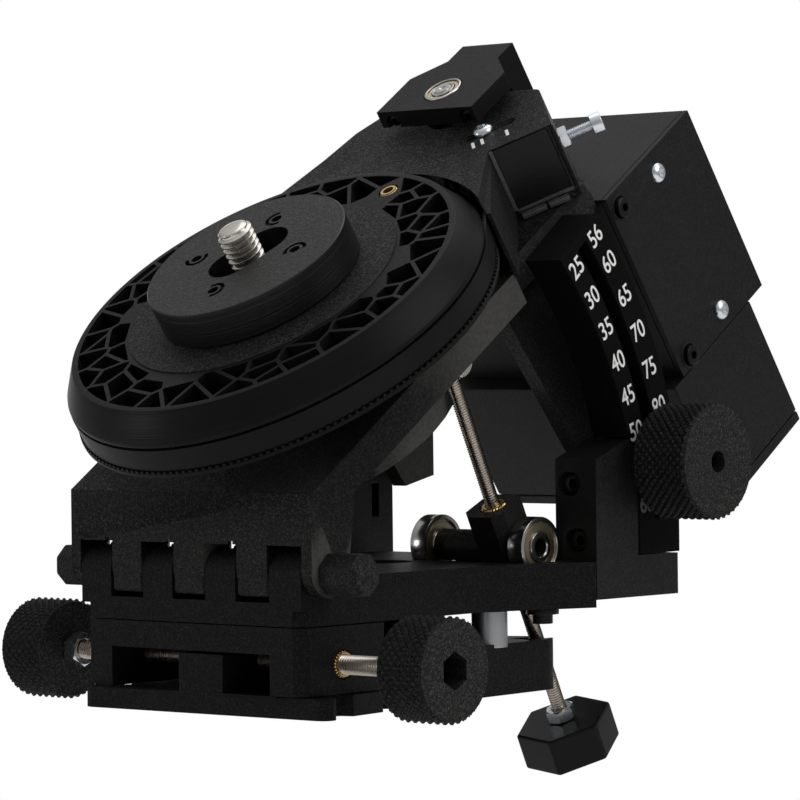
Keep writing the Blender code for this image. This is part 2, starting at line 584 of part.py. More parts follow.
def build_motor(plate):
    body = [slide_point(a, b) for a, b in ((4.4, 2.4), (POD_W - 4.4, 2.4),
                                           (POD_W - 4.4, 20.0), (4.4, 20.0))]
    piece("drive_motor", "black_cover", plate, [prism(body, FRAME_TOP + 0.6, 38.4)])
    x, u = SLOT_CENTRE
    piece("tension_lock_screw", "zinc", plate,
          [turned([(0, 39.4), (1.45, 39.4), (1.45, 42.3), (2.9, 42.3), (2.5, 43.6), (1.6, 44.2),
                   (0, 44.2)], (x - 1.2, u - 1.1), 20)])
    wall = slide_point(POD_W, 7.0)
    direction = Vector(slide_direction())
    nut = along(prism(hexagon(5.5), 0.3, 2.7), (*wall, 34.0), direction)
    piece("tension_nut", "zinc", plate, [nut],
          [along(rod(1.5 + RUN, -5, 9, sides=20), (*wall, 34.0), direction)])
    shaft = along(rod(1.5, -2.0, 9.6, sides=20), (*wall, 34.0), direction)
    head = along(rod(2.75, 9.5, 12.5, sides=24), (*wall, 34.0), direction)
    piece("tension_screw", "zinc", plate, [shaft, head],
          [along(prism(hexagon(2.5), 11.0, 15.0), (*wall, 34.0), direction)])


def build_drive(plate):
    axis = station("drive_axis", (0, DRIVE_U, 0), plate)
    rim = DRIVE_BELT_R
    profile = [(2.5, 24.0), (rim + 1.0, 24.0), (rim + 1.0, 30.6), (rim - 0.1, 30.6),
               (rim - 0.1, 38.4), (2.5, 38.4)]
    piece("drive_pulley", "aluminium", axis, [turned(profile, sides=32)])
    piece("drive_shaft", "nickel_steel", axis, [rod(BEARING_BORE - RUN, 15.0, 50.6)])


def belt_path(extra):
    """The belt's loop round the disc and the drive pulley, offset outwards by extra."""
    big, small = DISC_BELT_R + extra, DRIVE_BELT_R + extra
    reach = DRIVE_U - DISC_U
    lean = math.degrees(math.asin((DISC_BELT_R - DRIVE_BELT_R) / reach))
    return (arc(0, DISC_U, big, 180 - lean, 360 + lean, 40)
            + arc(0, DRIVE_U, small, lean, 180 - lean, 8))


def build_belt(plate):
    piece("drive_belt", "belt_rubber", plate, [prism(belt_path(0.3 + BELT_T), BELT_LOW, BELT_HIGH)],
          [prism(belt_path(0.3), BELT_LOW - 1, BELT_HIGH + 1)])


def build_disc(plate):
    axis = station("polar_axis", (0, DISC_U, 0), plate)
    seat = DISC_BELT_R
    profile = [(4.2, 23.0), (30.0, 23.0), (30.0, 30.0), (59.5, 30.0), (59.5, 31.2),
               (seat, 31.2), (seat, 38.4), (59.0, 38.4), (59.0, 39.8), (54.2, 46.8), (53.0, 46.8),
               (52.6, 39.0), (38.2, 39.0), (37.7, 47.2), (4.2, 47.2)]
    insert = (11.3, 44.7)
    piece("camera_disc", "black_print", axis, [turned(profile, sides=56),
                                               rod(4.4, 38.0, 46.9, insert)],
          [rod(2.8, 39.0, 50.0, insert)])
    piece("disc_insert", "brass", axis, [rod(2.5, 40.2, 46.9, insert)],
          [rod(1.5, 39.0, 50.0, insert, sides=16)])
    marks = [(16.4 * math.cos(a), 16.4 * math.sin(a))
             for a in [math.radians(5 + 90 * k) for k in range(4)]]
    slot = slot_outline((0.4, 0.9), 5.2, 6.7, math.radians(67))
    piece("camera_puck", "black_print", axis, [rod(27.8, 47.5, 57.5, sides=40)],
          [prism(slot, 40.0, 60.0)]
          + [rod(2.6, 55.6, 60.0, place, sides=16) for place in marks]
          + [rod(1.6, 47.0, 60.0, place, sides=12) for place in marks])
    thread = 4.76
    piece("camera_screw", "nickel_steel", axis,
          [turned([(0, 47.8), (4.9, 47.8), (4.9, 50.4), (thread, 50.4), (thread, 65.2), (4.0, 66.0),
                   (0, 66.0)], sides=20)])
    piece("polar_shaft", "nickel_steel", axis, [rod(4.0 - RUN, 1.0, 40.0, sides=24)])
    for word, low in (("lower", 1.7), ("upper", 13.2)):
        piece("polar_bearing_%s" % word, "bearing_steel", plate,
              [rod(11.0, low, low + 7.0, (0, DISC_U), sides=32)],
              [rod(4.0, low - 1, low + 8.0, (0, DISC_U), sides=24)])


def build_clamp(plate):
    axis = station("clamp_axis", (0, *CLAMP_UV), plate)
    face = 56.3
    piece("clamp_knob", "black_print", axis,
          [rod(CLAMP_KNOB_R, face, face + 17.1, (0, 0), "X", 32),
           rod(4.4, ARC_X1 + GAP, face + 1, (0, 0), "X")],
          [rod(CLAMP_SCREW_R + RUN, 40, 66.0, (0, 0), "X"), rod(2.6, 65.0, 80, (0, 0), "X")])
    piece("clamp_screw", "nickel_steel", axis, [rod(CLAMP_SCREW_R, 31.0, 65.5, (0, 0), "X")])


def build_plate_screw(hinge):
    place = PLATE_SCREW
    piece("plate_screw", "black_steel", hinge,
          [rod(2.75, -17.3, -14.6, place), rod(4.4, -14.8, SEAT_Z - GAP, place),
           rod(1.5, -14.0, -6.4, place, sides=16)],
          [prism([(place[0] + a, place[1] + b) for a, b in hexagon(2.5)], -20.0, -16.0)])


def main():
    for old in list(bpy.data.objects):
        bpy.data.objects.remove(old)
    base = station("tripod_station", (0, AXIS_Y, 0), turn=(0, 0, AZIMUTH_SET))
    hinge = station("hinge_station", (0, AXIS_Y + HINGE_Y, HINGE_Z))
    plate = station("altitude_axis", parent=hinge, turn=(PLATE_TILT, 0, 0))
    build_base(base)
    build_azimuth_block(hinge)
    build_hinge_plate(hinge)
    build_hinge_pin(hinge)
    build_brackets(hinge)
    build_arc(hinge)
    build_azimuth_screws(hinge)
    build_altitude_screw(hinge)
    build_plate_screw(hinge)
    build_frame(plate)
    build_boxes(plate)
    build_top_bracket(plate)
    build_motor(plate)
    build_drive(plate)
    build_belt(plate)
    build_disc(plate)
    build_clamp(plate)
    bpy.context.view_layer.update()


main()
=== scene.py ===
import json
import math
import random

import bmesh
import bpy
from mathutils import Matrix, Vector


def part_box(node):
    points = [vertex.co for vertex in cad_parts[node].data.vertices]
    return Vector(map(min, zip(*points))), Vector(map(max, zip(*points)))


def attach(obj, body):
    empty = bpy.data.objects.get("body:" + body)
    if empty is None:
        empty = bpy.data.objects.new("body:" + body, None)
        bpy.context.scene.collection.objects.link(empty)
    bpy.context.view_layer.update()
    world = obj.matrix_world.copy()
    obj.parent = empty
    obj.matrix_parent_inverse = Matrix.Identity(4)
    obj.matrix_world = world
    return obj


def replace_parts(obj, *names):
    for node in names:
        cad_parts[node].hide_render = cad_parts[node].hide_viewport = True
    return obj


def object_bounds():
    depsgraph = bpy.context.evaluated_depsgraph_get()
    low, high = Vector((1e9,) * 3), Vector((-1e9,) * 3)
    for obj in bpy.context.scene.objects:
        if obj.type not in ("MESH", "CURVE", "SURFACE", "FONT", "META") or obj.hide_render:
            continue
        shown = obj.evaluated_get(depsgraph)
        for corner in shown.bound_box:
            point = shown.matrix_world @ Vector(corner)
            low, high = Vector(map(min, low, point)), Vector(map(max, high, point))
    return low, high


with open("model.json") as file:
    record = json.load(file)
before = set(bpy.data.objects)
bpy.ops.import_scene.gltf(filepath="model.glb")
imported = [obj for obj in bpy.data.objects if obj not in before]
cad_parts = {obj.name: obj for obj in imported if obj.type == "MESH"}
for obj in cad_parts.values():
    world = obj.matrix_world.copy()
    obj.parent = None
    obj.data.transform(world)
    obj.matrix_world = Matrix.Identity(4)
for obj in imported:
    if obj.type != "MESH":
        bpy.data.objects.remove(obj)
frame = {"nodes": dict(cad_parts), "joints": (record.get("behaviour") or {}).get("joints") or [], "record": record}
CAD_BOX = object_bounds()
MM = 0.001
WORLD_MM = Matrix.Scale(MM, 4)
PER_M = 1000.0
NODES = frame["nodes"]
JOINTS = {joint["name"]: joint for joint in frame["joints"]}
BODY_OF = {node: body for body, nodes in frame["record"]["behaviour"]["bodies"].items() for node in nodes}
SLOT_OF = {part["node"]: part["material_slot"] for part in frame["record"]["subparts"]}

# Stations ---------------------------------------------------------------------------------------


def station(origin, x_axis, z_axis):
    """A millimetre frame at a point, with its X and Z along two directions."""
    z = Vector(z_axis).normalized()
    x = Vector(x_axis)
    x = (x - z * x.dot(z)).normalized()
    y = z.cross(x)
    turn = Matrix((x, y, z)).transposed().to_4x4()
    return Matrix.Translation(Vector(origin)) @ turn @ WORLD_MM


RIGHT = (1.0, 0.0, 0.0)
UP = (0.0, 0.0, 1.0)
X_AXIS, Z_AXIS = Vector(RIGHT), Vector(UP)
HINGE_POINT = Vector(JOINTS["altitude_tilt"]["pos_m"])
POLAR = Vector(JOINTS["polar_turn"]["axis"])
HINGE = station(HINGE_POINT, RIGHT, UP)
PLATE = station(HINGE_POINT, RIGHT, POLAR)


def on_plate(joint):
    """The plate station moved along the plate to a joint's axis."""
    offset = Vector(JOINTS[joint]["pos_m"]) - HINGE_POINT
    offset -= POLAR * offset.dot(POLAR)
    return Matrix.Translation(offset) @ PLATE


DISC = on_plate("polar_turn")
DRIVE = on_plate("drive_turn")
ROD_AXIS = Vector(JOINTS["altitude_screw_feed"]["axis"])
ROD_POINT = Vector(JOINTS["altitude_knob_turn"]["pos_m"])
ROD = station(ROD_POINT, RIGHT, ROD_AXIS)
SLIDE_AXIS = Vector(JOINTS["tension_screw_turn"]["axis"])
TENSION = station(JOINTS["tension_screw_turn"]["pos_m"], POLAR, SLIDE_AXIS)
SCREW_POINT = Vector(JOINTS["azimuth_knob_right_turn"]["pos_m"])
CLAMP = station(JOINTS["clamp_knob_turn"]["pos_m"], UP, RIGHT)
KNUCKLE_PITCH = 11.1
HINGE_HALF = 38.85
DISC_TEETH = 184
INSERT = (11.3, 44.7)

# Shapes, in millimetres -------------------------------------------------------------------------


def arc(cx, cy, r, a0, a1, steps):
    angles = [math.radians(a0 + (a1 - a0) * i / steps) for i in range(steps + 1)]
    return [(cx + r * math.cos(a), cy + r * math.sin(a)) for a in angles]


def circle(r, sides, cx=0.0, cy=0.0):
    return arc(cx, cy, r, 0, 360 - 360 / sides, sides - 1)


def hexagon(across_flats, turn=0.0):
    return arc(0, 0, across_flats / math.sqrt(3), turn, turn + 300, 5)


def mesh_from(bm):
    bmesh.ops.recalc_face_normals(bm, faces=bm.faces)
    mesh = bpy.data.meshes.new("shape")
    bm.to_mesh(mesh)
    bm.free()
    return mesh


TURNS = {"X": Matrix(((0, 0, 1), (1, 0, 0), (0, 1, 0))),
         "Y": Matrix(((1, 0, 0), (0, 0, 1), (0, 1, 0))),
         "Z": Matrix.Identity(3)}


def prism(outline, low, high, axis="Z"):
    bm = bmesh.new()
    turn = TURNS[axis]
    ends = [[bm.verts.new(turn @ Vector((a, b, h))) for a, b in outline] for h in (low, high)]
    bm.faces.new(ends[0])
    bm.faces.new(ends[1])
    count = len(outline)
    for i in range(count):
        j = (i + 1) % count
        bm.faces.new((ends[0][i], ends[0][j], ends[1][j], ends[1][i]))
    return mesh_from(bm)


def block(x0, x1, y0, y1, z0, z1):
    return prism([(x0, y0), (x1, y0), (x1, y1), (x0, y1)], z0, z1)


def turned(profile, sides=64):
    """A closed (radius, height) profile spun about Z."""
    bm = bmesh.new()
    rings = []
    for r, h in profile:
        if r == 0:
            rings.append([bm.verts.new((0.0, 0.0, h))] * sides)
        else:
            rings.append([bm.verts.new((x, y, h)) for x, y in circle(r, sides)])
    for k, ring in enumerate(rings):
        following = rings[(k + 1) % len(rings)]
        for i in range(sides):
            j = (i + 1) % sides
            corners = []
            for vert in (ring[i], ring[j], following[j], following[i]):
                if vert not in corners:
                    corners.append(vert)
            if len(corners) > 2:
                bm.faces.new(corners)
    return mesh_from(bm)


def grid_tube(radius, height, rings, sides, inner=0.0):
    """A tube whose outside radius is a function of (turn, height), closed at both ends."""
    bm = bmesh.new()
    rows = []
    for k in range(rings + 1):
        h = height * k / rings
        row = []
        for i in range(sides):
            a = 2 * math.pi * i / sides
            r = radius(i / sides, h)
            row.append(bm.verts.new((r * math.cos(a), r * math.sin(a), h)))
        rows.append(row)
    if inner > 0:
        for h in (height, 0.0):
            rows.append([bm.verts.new((x, y, h)) for x, y in circle(inner, sides)])
        rows.append(rows[0])
    for lower, upper in zip(rows, rows[1:]):
        for i in range(sides):
            j = (i + 1) % sides
            bm.faces.new((lower[i], lower[j], upper[j], upper[i]))
    if inner <= 0:
        bm.faces.new(list(reversed(rows[0])))
        bm.faces.new(rows[-1])
    return mesh_from(bm)


def thread(major, pitch, low, high, sides=24, depth=None, tip=0.35):
    """A screw thread from low to high with chamfered ends."""
    depth = depth or 0.6 * pitch
    chamfer = tip * major * 0.35
    profile = ((0.0, 0.0), (0.34, 1.0), (0.5, 1.0), (0.84, 0.0))
    bm = bmesh.new()
    turns = int((high - low) / pitch) + 2
    columns = []
    for i in range(sides + 1):
        a = 2 * math.pi * i / sides
        column = []
        for k in range(turns):
            for phase, cut in profile:
                h = low + (k - 1 + phase + i / sides) * pitch
                h = min(max(h, low), high)
                end = min(h - low, high - h)
                r = major - depth * cut
                if end < chamfer:
                    r = min(r, major - chamfer + end)
                column.append((r * math.cos(a), r * math.sin(a), h))
        columns.append(column)
    step = len(profile)
    verts = [[bm.verts.new(point) for point in column] for column in columns[:-1]]
    length = len(columns[0])
    for i in range(sides):
        last = i == sides - 1
        for k in range(length - 1):
            a, b = verts[i][k], verts[i][k + 1]
            if not last:
                c, d = verts[i + 1][k + 1], verts[i + 1][k]
            elif k + 1 + step < length:
                c, d = verts[0][k + 1 + step], verts[0][k + step]
            else:
                continue
            bm.faces.new((a, d, c, b))
    bmesh.ops.remove_doubles(bm, verts=bm.verts, dist=0.0005)
    bmesh.ops.dissolve_degenerate(bm, edges=bm.edges, dist=0.0004)
    for height in (low, high):
        rim = [edge for edge in bm.edges
               if edge.is_boundary and all(abs(v.co.z - height) < pitch * 1.3 for v in edge.verts)]
        if rim:
            bmesh.ops.holes_fill(bm, edges=rim, sides=0)
    return mesh_from(bm)


def knurl(r, length, around, along, height, border):
    """A diamond-knurled cylinder with a plain border at each end."""
    fade_length = 0.25

    def radius(turn, h):
        inside = min(h, length - h)
        p = turn * around + h / along
        q = turn * around - h / along
        dp = abs((p % 1.0) - 0.5) * 2
        dq = abs((q % 1.0) - 0.5) * 2
        bump = min(1.0, (1.0 - max(dp, dq)) * 1.5)
        fade = min(1.0, max(0.0, (inside - border) / fade_length))
        return r + height * bump * fade
    rings = max(8, int(length / along * 8))
    return grid_tube(radius, length, rings, around * 6)


def transformed(mesh, matrix):
    mesh.transform(matrix)
    return mesh


def shifted(mesh, x, y, z):
    return transformed(mesh, Matrix.Translation((x, y, z)))


# Making pieces ----------------------------------------------------------------------------------


def new_object(name, mesh):
    piece = bpy.data.objects.new(name, mesh)
    bpy.context.scene.collection.objects.link(piece)
    return piece


def settle(piece):
    """Turns the piece's modifiers into plain mesh."""
    bpy.context.view_layer.update()
    graph = bpy.context.evaluated_depsgraph_get()
    mesh = bpy.data.meshes.new_from_object(piece.evaluated_get(graph))
    piece.modifiers.clear()
    piece.data = mesh


def carve(piece, meshes, operation="DIFFERENCE"):
    helpers = []
    for mesh in meshes:
        helper = new_object("helper", mesh)
        helpers.append(helper)
        modifier = piece.modifiers.new("carve", "BOOLEAN")
        modifier.operation = operation
        modifier.solver = "EXACT"
        modifier.object = helper
    settle(piece)
    for helper in helpers:
        bpy.data.objects.remove(helper)


def soften(piece, width, segments):
    modifier = piece.modifiers.new("edge", "BEVEL")
    modifier.width = width
    modifier.segments = segments
    modifier.limit_method = "ANGLE"
    modifier.angle_limit = math.radians(32)
    modifier.use_clamp_overlap = True
    settle(piece)


def finish_shape(piece, sharp, weighted):
    piece.data.shade_smooth()
    piece.data.set_sharp_from_angle(angle=math.radians(sharp))
    if weighted:
        modifier = piece.modifiers.new("normals", "WEIGHTED_NORMAL")
        modifier.keep_sharp = True
        modifier.weight = 80
        settle(piece)


def joined(meshes):
    bm = bmesh.new()
    for mesh in meshes:
        bm.from_mesh(mesh)
    out = bpy.data.meshes.new("joined")
    bm.to_mesh(out)
    bm.free()
    return out


def dress(piece, node, material):
    """Gives a piece its material, and puts it on the body of a CAD node."""
    piece.data.materials.clear()
    piece.data.materials.append(material)
    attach(piece, BODY_OF[node])


def make(name, node, place, add, material, cut=(), edge=0.0, segments=2, sharp=35):
    """One visible piece built in a millimetre station; it rides on its node's body."""
    piece = new_object(name, add)
    if cut:
        carve(piece, cut)
    if edge:
        soften(piece, edge, segments)
    piece.data.transform(place)
    finish_shape(piece, sharp, bool(edge))
    dress(piece, node, material)
    return piece


def rebuild(name, node, place, add, material, **shaping):
    """A visible piece that takes the place of its CAD node."""
    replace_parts(make(name, node, place, add, material, **shaping), node)


def refine(node, material, edge, segments=2, cut=(), place=WORLD_MM):
    """A CAD node's own shape with its edges rounded, and with extra cuts made in a station."""
    mesh = NODES[node].data.copy()
    mesh.materials.clear()
    bm = bmesh.new()
    bm.from_mesh(mesh)
    bmesh.ops.remove_doubles(bm, verts=bm.verts, dist=0.000002)
    bmesh.ops.scale(bm, vec=(PER_M, PER_M, PER_M), verts=bm.verts)
    bmesh.ops.dissolve_limit(bm, angle_limit=math.radians(0.6), verts=bm.verts, edges=bm.edges)
    bm.to_mesh(mesh)
    bm.free()
    piece = new_object(node + "_shell", mesh)
    if cut:
        local = Matrix.Scale(PER_M, 4) @ place
        carve(piece, [transformed(shape, local) for shape in cut])
    soften(piece, edge, segments)
    piece.data.transform(WORLD_MM)
    finish_shape(piece, 50, True)
    dress(piece, node, material)
    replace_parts(piece, node)


# Materials --------------------------------------------------------------------------------------


class Graph:
    """A material's node tree, written as nested calls that return sockets."""

    def __init__(self, name):
        self.material = bpy.data.materials.new(name)
        self.material.use_nodes = True
        self.tree = self.material.node_tree
        self.shader = self.tree.nodes["Principled BSDF"]

    def node(self, kind, inputs=(), output=0, **settings):
        node = self.tree.nodes.new(kind)
        for key, value in settings.items():
            setattr(node, key, value)
        items = inputs.items() if isinstance(inputs, dict) else enumerate(inputs)
        for key, value in items:
            if isinstance(value, bpy.types.NodeSocket):
                self.tree.links.new(value, node.inputs[key])
            else:
                node.inputs[key].default_value = value
        return node.outputs[output]

    def math(self, operation, *inputs):
        return self.node("ShaderNodeMath", inputs, operation=operation)

    def coordinates(self):
        return self.node("ShaderNodeTexCoord", output="Object")

    def dot(self, vector, axis):
        return self.node("ShaderNodeVectorMath", (vector, tuple(axis)), output="Value",
                         operation="DOT_PRODUCT")

    def noise(self, vector, scale, detail=2.0, roughness=0.5):
        return self.node("ShaderNodeTexNoise", {"Vector": vector, "Scale": scale, "Detail": detail,
                                                "Roughness": roughness})

    def line_noise(self, value, scale, detail):
        return self.node("ShaderNodeTexNoise", {"W": value, "Scale": scale, "Detail": detail},
                         noise_dimensions="1D")

    def remap(self, value, low, high, to_low, to_high):
        return self.node("ShaderNodeMapRange", (value, low, high, to_low, to_high))

    def mix_colour(self, factor, first, second):
        node = self.tree.nodes.new("ShaderNodeMix")
        node.data_type = "RGBA"
        for index, value in ((0, factor), (6, first), (7, second)):
            if isinstance(value, bpy.types.NodeSocket):
                self.tree.links.new(value, node.inputs[index])
            elif index == 0:
                node.inputs[index].default_value = value
            else:
                node.inputs[index].default_value = (*value, 1.0)
        return node.outputs[2]

    def bump(self, height, distance, strength):
        return self.node("ShaderNodeBump", {"Height": height, "Distance": distance, "Strength": strength})

    def surface(self, **inputs):
        for key, value in inputs.items():
            socket = self.shader.inputs[key.replace("_", " ")]
            if isinstance(value, bpy.types.NodeSocket):
                self.tree.links.new(value, socket)
            elif isinstance(value, tuple) and len(value) == 3:
                socket.default_value = (*value, 1.0)
            else:
                socket.default_value = value
        return self.material


# Pale grey of the painted highlight on faces that look along +X.
PAINTED_SIDE_HIGHLIGHT = (0.062, 0.061, 0.057)


def printed(name, axis, dark=(0.0045, 0.0045, 0.0047), light=(0.0115, 0.0112, 0.0106), rough=0.50,
            grain=1.0, lines=1.0, specular=0.24, painted_glint_tone=0.045, wall_grain=0.55, wall_rough=0.0,
            painted_side_highlight_tone=0.0):
    """Black printed plastic: grained where it lay on the bed, fine layer lines on its walls, lighter cells as
    painted glints on the grain, and an optional painted highlight on faces along +X.
    """
    g = Graph(name)
    at = g.coordinates()
    normal = g.node("ShaderNodeTexCoord", output="Normal")
    flatness = g.math("ABSOLUTE", g.dot(normal, axis))
    flat = g.remap(flatness, 0.75, 0.95, 0.0, 1.0)
    wall = g.math("SUBTRACT", 1.0, flat)
    height = g.dot(at, axis)
    drift = g.math("MULTIPLY", g.noise(at, 45.0, 1.0), 0.0004)
    height = g.math("ADD", height, drift)
    fine_lines = g.line_noise(height, 3600.0, 1.0)
    broad_lines = g.line_noise(height, 700.0, 3.0)
    fine_grain = g.noise(at, 2600.0, 3.0, 0.75)
    coarse_grain = g.noise(at, 900.0, 2.0, 0.6)
    # Painted glints: random small cells get a lighter colour (painted highlight) and a little less roughness
    # (real), standing in for the sparkle of the bed's grain.
    cells = g.node("ShaderNodeTexVoronoi", {"Vector": at, "Scale": 3400.0}, output="Color")
    painted_glint = g.node("ShaderNodeSeparateColor", (cells,))
    painted_glint = g.remap(painted_glint, 0.62, 0.98, 0.0, 1.0)
    smudge = g.noise(at, 28.0, 4.0, 0.6)
    line_part = g.math("MULTIPLY", g.math("ADD", fine_lines, broad_lines), wall)
    grain_mask = g.math("ADD", g.math("MULTIPLY", flat, 1.0 - wall_grain), wall_grain)
    grain_part = g.math("MULTIPLY", g.math("ADD", fine_grain, coarse_grain), grain_mask)
    relief = g.math("ADD", g.math("MULTIPLY", line_part, 0.16 * lines),
                    g.math("MULTIPLY", grain_part, grain))
    bump = g.bump(relief, 0.00030, 0.9)
    painted_glint_amount = g.math("MULTIPLY", g.math("MULTIPLY", painted_glint, grain_mask), 0.85 * grain)
    tone = g.math("ADD", g.math("MULTIPLY", smudge, 0.7),
                  g.math("MULTIPLY", g.math("SUBTRACT", broad_lines, 0.5), 0.25 * lines))
    colour = g.mix_colour(tone, dark, light)
    colour = g.mix_colour(painted_glint_amount, colour, (painted_glint_tone, painted_glint_tone * 0.98, painted_glint_tone * 0.94))
    # Painted highlight: faces that look along +X, towards the key lamp, are lightened towards a pale grey.
    side = g.remap(g.dot(normal, X_AXIS), 0.80, 0.97, 0.0, painted_side_highlight_tone)
    painted_side_highlight = g.math("MULTIPLY", side, g.math("ADD", coarse_grain, 0.3))
    colour = g.mix_colour(painted_side_highlight, colour, PAINTED_SIDE_HIGHLIGHT)
    roughness = g.math("ADD", g.math("MULTIPLY", g.math("SUBTRACT", smudge, 0.5), 0.16), rough)
    roughness = g.math("SUBTRACT", roughness, g.math("MULTIPLY", painted_glint_amount, 0.25))
    roughness = g.math("ADD", roughness, g.math("MULTIPLY", wall, wall_rough))
    return g.surface(Base_Color=colour, Roughness=roughness, Normal=bump, Specular_IOR_Level=specular)


def metal(name, colour, shade, rough, brush=None):
    """A metal with small tone changes, fine scratches and dulled patches."""
    g = Graph(name)
    at = g.coordinates()
    blotch = g.noise(at, 120.0, 3.0, 0.6)
    if brush is None:
        fine = g.noise(at, 2500.0, 2.0, 0.6)
    else:
        fine = g.line_noise(g.dot(at, brush), 5200.0, 2.0)
    tone = g.mix_colour(blotch, colour, shade)
    roughness = g.math("ADD", g.math("MULTIPLY", blotch, 0.16), rough - 0.06)
    bump = g.bump(fine, 0.000008, 0.4)
    return g.surface(Base_Color=tone, Roughness=roughness, Normal=bump, Metallic=1.0)


def rubber(name):
    g = Graph(name)
    at = g.coordinates()
    weave = g.noise(at, 1800.0, 2.0)
    dust = g.remap(g.noise(at, 90.0, 4.0, 0.65), 0.45, 0.75, 0.0, 0.25)
    colour = g.mix_colour(dust, (0.005, 0.0053, 0.005), (0.013, 0.0135, 0.0125))
    roughness = g.math("ADD", g.math("MULTIPLY", dust, 0.3), 0.42)
    return g.surface(Base_Color=colour, Roughness=roughness, Normal=g.bump(weave, 0.00004, 0.5),
                     Specular_IOR_Level=0.10)


def paint(name, colour):
    g = Graph(name)
    at = g.coordinates()
    patches = g.remap(g.noise(at, 1500.0, 3.0, 0.7), 0.35, 0.7, 0.0, 0.4)
    tone = g.mix_colour(patches, colour, tuple(c * 0.62 for c in colour))
    return g.surface(Base_Color=tone, Roughness=0.6, Normal=g.bump(patches, 0.00004, 0.6))


# Each print's painted_glint_tone is the colour of its painted glints.
PLA_Z = printed("print_upright", Z_AXIS, dark=(0.0028, 0.0028, 0.0029),
                light=(0.0072, 0.0070, 0.0067), specular=0.07, painted_glint_tone=0.028)
# The tilted print carries the painted highlight on its +X faces.
PLA_N = printed("print_tilted", POLAR, specular=0.10, painted_glint_tone=0.064, painted_side_highlight_tone=1.0)
PLA_PUCK = printed("print_puck", POLAR, dark=(0.002, 0.002, 0.002), light=(0.005, 0.005, 0.005),
                   rough=0.56, specular=0.40, painted_glint_tone=0.018, wall_grain=0.08, wall_rough=-0.22)
PLA_X = printed("print_sideways", X_AXIS, specular=0.12, painted_glint_tone=0.060)
PLA_ROD = printed("print_on_rod", ROD_AXIS, grain=0.7, specular=0.12)
SATIN_X = printed("satin_sideways", X_AXIS, rough=0.44, grain=0.40, lines=0.7, specular=0.14)
GLOSS_N = printed("satin_bay_wall", POLAR, rough=0.26, grain=0.08, lines=0.5, specular=0.18,
                  painted_glint_tone=0.02)
SATIN_N = printed("satin_tilted", POLAR, rough=0.36, grain=0.3, lines=0.9, specular=0.075,
                  wall_grain=0.15, painted_glint_tone=0.025)
SATIN_ARC = printed("satin_dial", X_AXIS, dark=(0.0025, 0.0026, 0.003), light=(0.006, 0.0062, 0.007),
                    rough=0.6, grain=0.35, lines=0.7, specular=0.03, painted_glint_tone=0.008)
SATIN_ROD = printed("satin_on_rod", ROD_AXIS, rough=0.24, grain=0.10, lines=0.25, specular=0.09)
# Painted highlight: a lighter grey print that stands in for the highlights along the motor bay's edge strips and
# sills.
PAINTED_HIGHLIGHT_PRINT = printed("print_painted_highlight", POLAR, dark=(0.035, 0.035, 0.034), light=(0.085, 0.084, 0.080),
               rough=0.30, grain=0.6, lines=0.6, specular=0.6)
BELT = rubber("belt_rubber_worn")
STEEL = metal("threaded_steel", (0.62, 0.58, 0.52), (0.42, 0.38, 0.33), 0.26)
NICKEL = metal("nickel", (0.74, 0.71, 0.66), (0.56, 0.53, 0.48), 0.20)
ZINC = metal("zinc_plate", (0.84, 0.87, 0.90), (0.62, 0.66, 0.70), 0.22)
RING_STEEL = metal("bearing_ring", (0.60, 0.60, 0.59), (0.40, 0.39, 0.37), 0.18)
SHIELD = metal("bearing_shield", (0.66, 0.57, 0.40), (0.50, 0.42, 0.28), 0.30)
BRASS = metal("brass_insert", (0.80, 0.58, 0.25), (0.58, 0.38, 0.13), 0.24)
BLACK_STEEL = metal("black_oxide", (0.030, 0.030, 0.032), (0.014, 0.014, 0.015), 0.36)
ALUMINIUM = metal("aluminium_turned", (0.46, 0.47, 0.48), (0.34, 0.35, 0.36), 0.34, Z_AXIS)
WHITE = paint("white_paint", (0.82, 0.82, 0.80))
# Dark grey paint: painted shade on the one numeral that sits under the knob.
SHADED_WHITE_PAINT = paint("white_paint_painted_shade", (0.10, 0.10, 0.095))

# Turning head and base --------------------------------------------------------------------------


def block_mouth():
    """The wider mouth of the altitude screw's hole in the block's lug."""
    hole = turned([(0, -47.5), (5.6, -47.5), (5.6, -36.0), (0, -36.0)], 40)
    return transformed(hole, WORLD_MM.inverted() @ ROD)


def bracket_recess(number):
    """The short slot that one of the clamp bracket's screws sits in."""
    low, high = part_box("bracket_screw_%d" % number)
    x, z = (low.x + high.x) / 2 / MM, (low.z + high.z) / 2 / MM
    outline = slot_outline((x - 0.55, z), 0.55, 3.2, 0.0)
    return prism(outline, low.y / MM - 4.0, low.y / MM + 1.4, "Y")


def trunnion_hollow():
    """The narrow bore along the trunnion's axis, seen at its ends."""
    low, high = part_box("trunnion_bearing_right")
    centre = (low + high) / 2
    bore = prism(circle(2.25, 32), -60.0, 60.0, "X")
    return shifted(bore, centre.x / MM, centre.y / MM, centre.z / MM)


def hinge_gaps(low):
    """Slanted gaps beside three knuckles, which let the light behind the hinge through."""
    high, width, slant = 7.9, 1.5, 23.0
    gaps = []
    for index in (0, 2, 4):
        right = -HINGE_HALF + KNUCKLE_PITCH * (index + 1) + 0.25
        left = right - width
        outline = [(left, -9.0), (right, -9.0), (right - slant, 17.0), (left - slant, 17.0)]
        gaps.append(prism(outline, low, high))
    return gaps


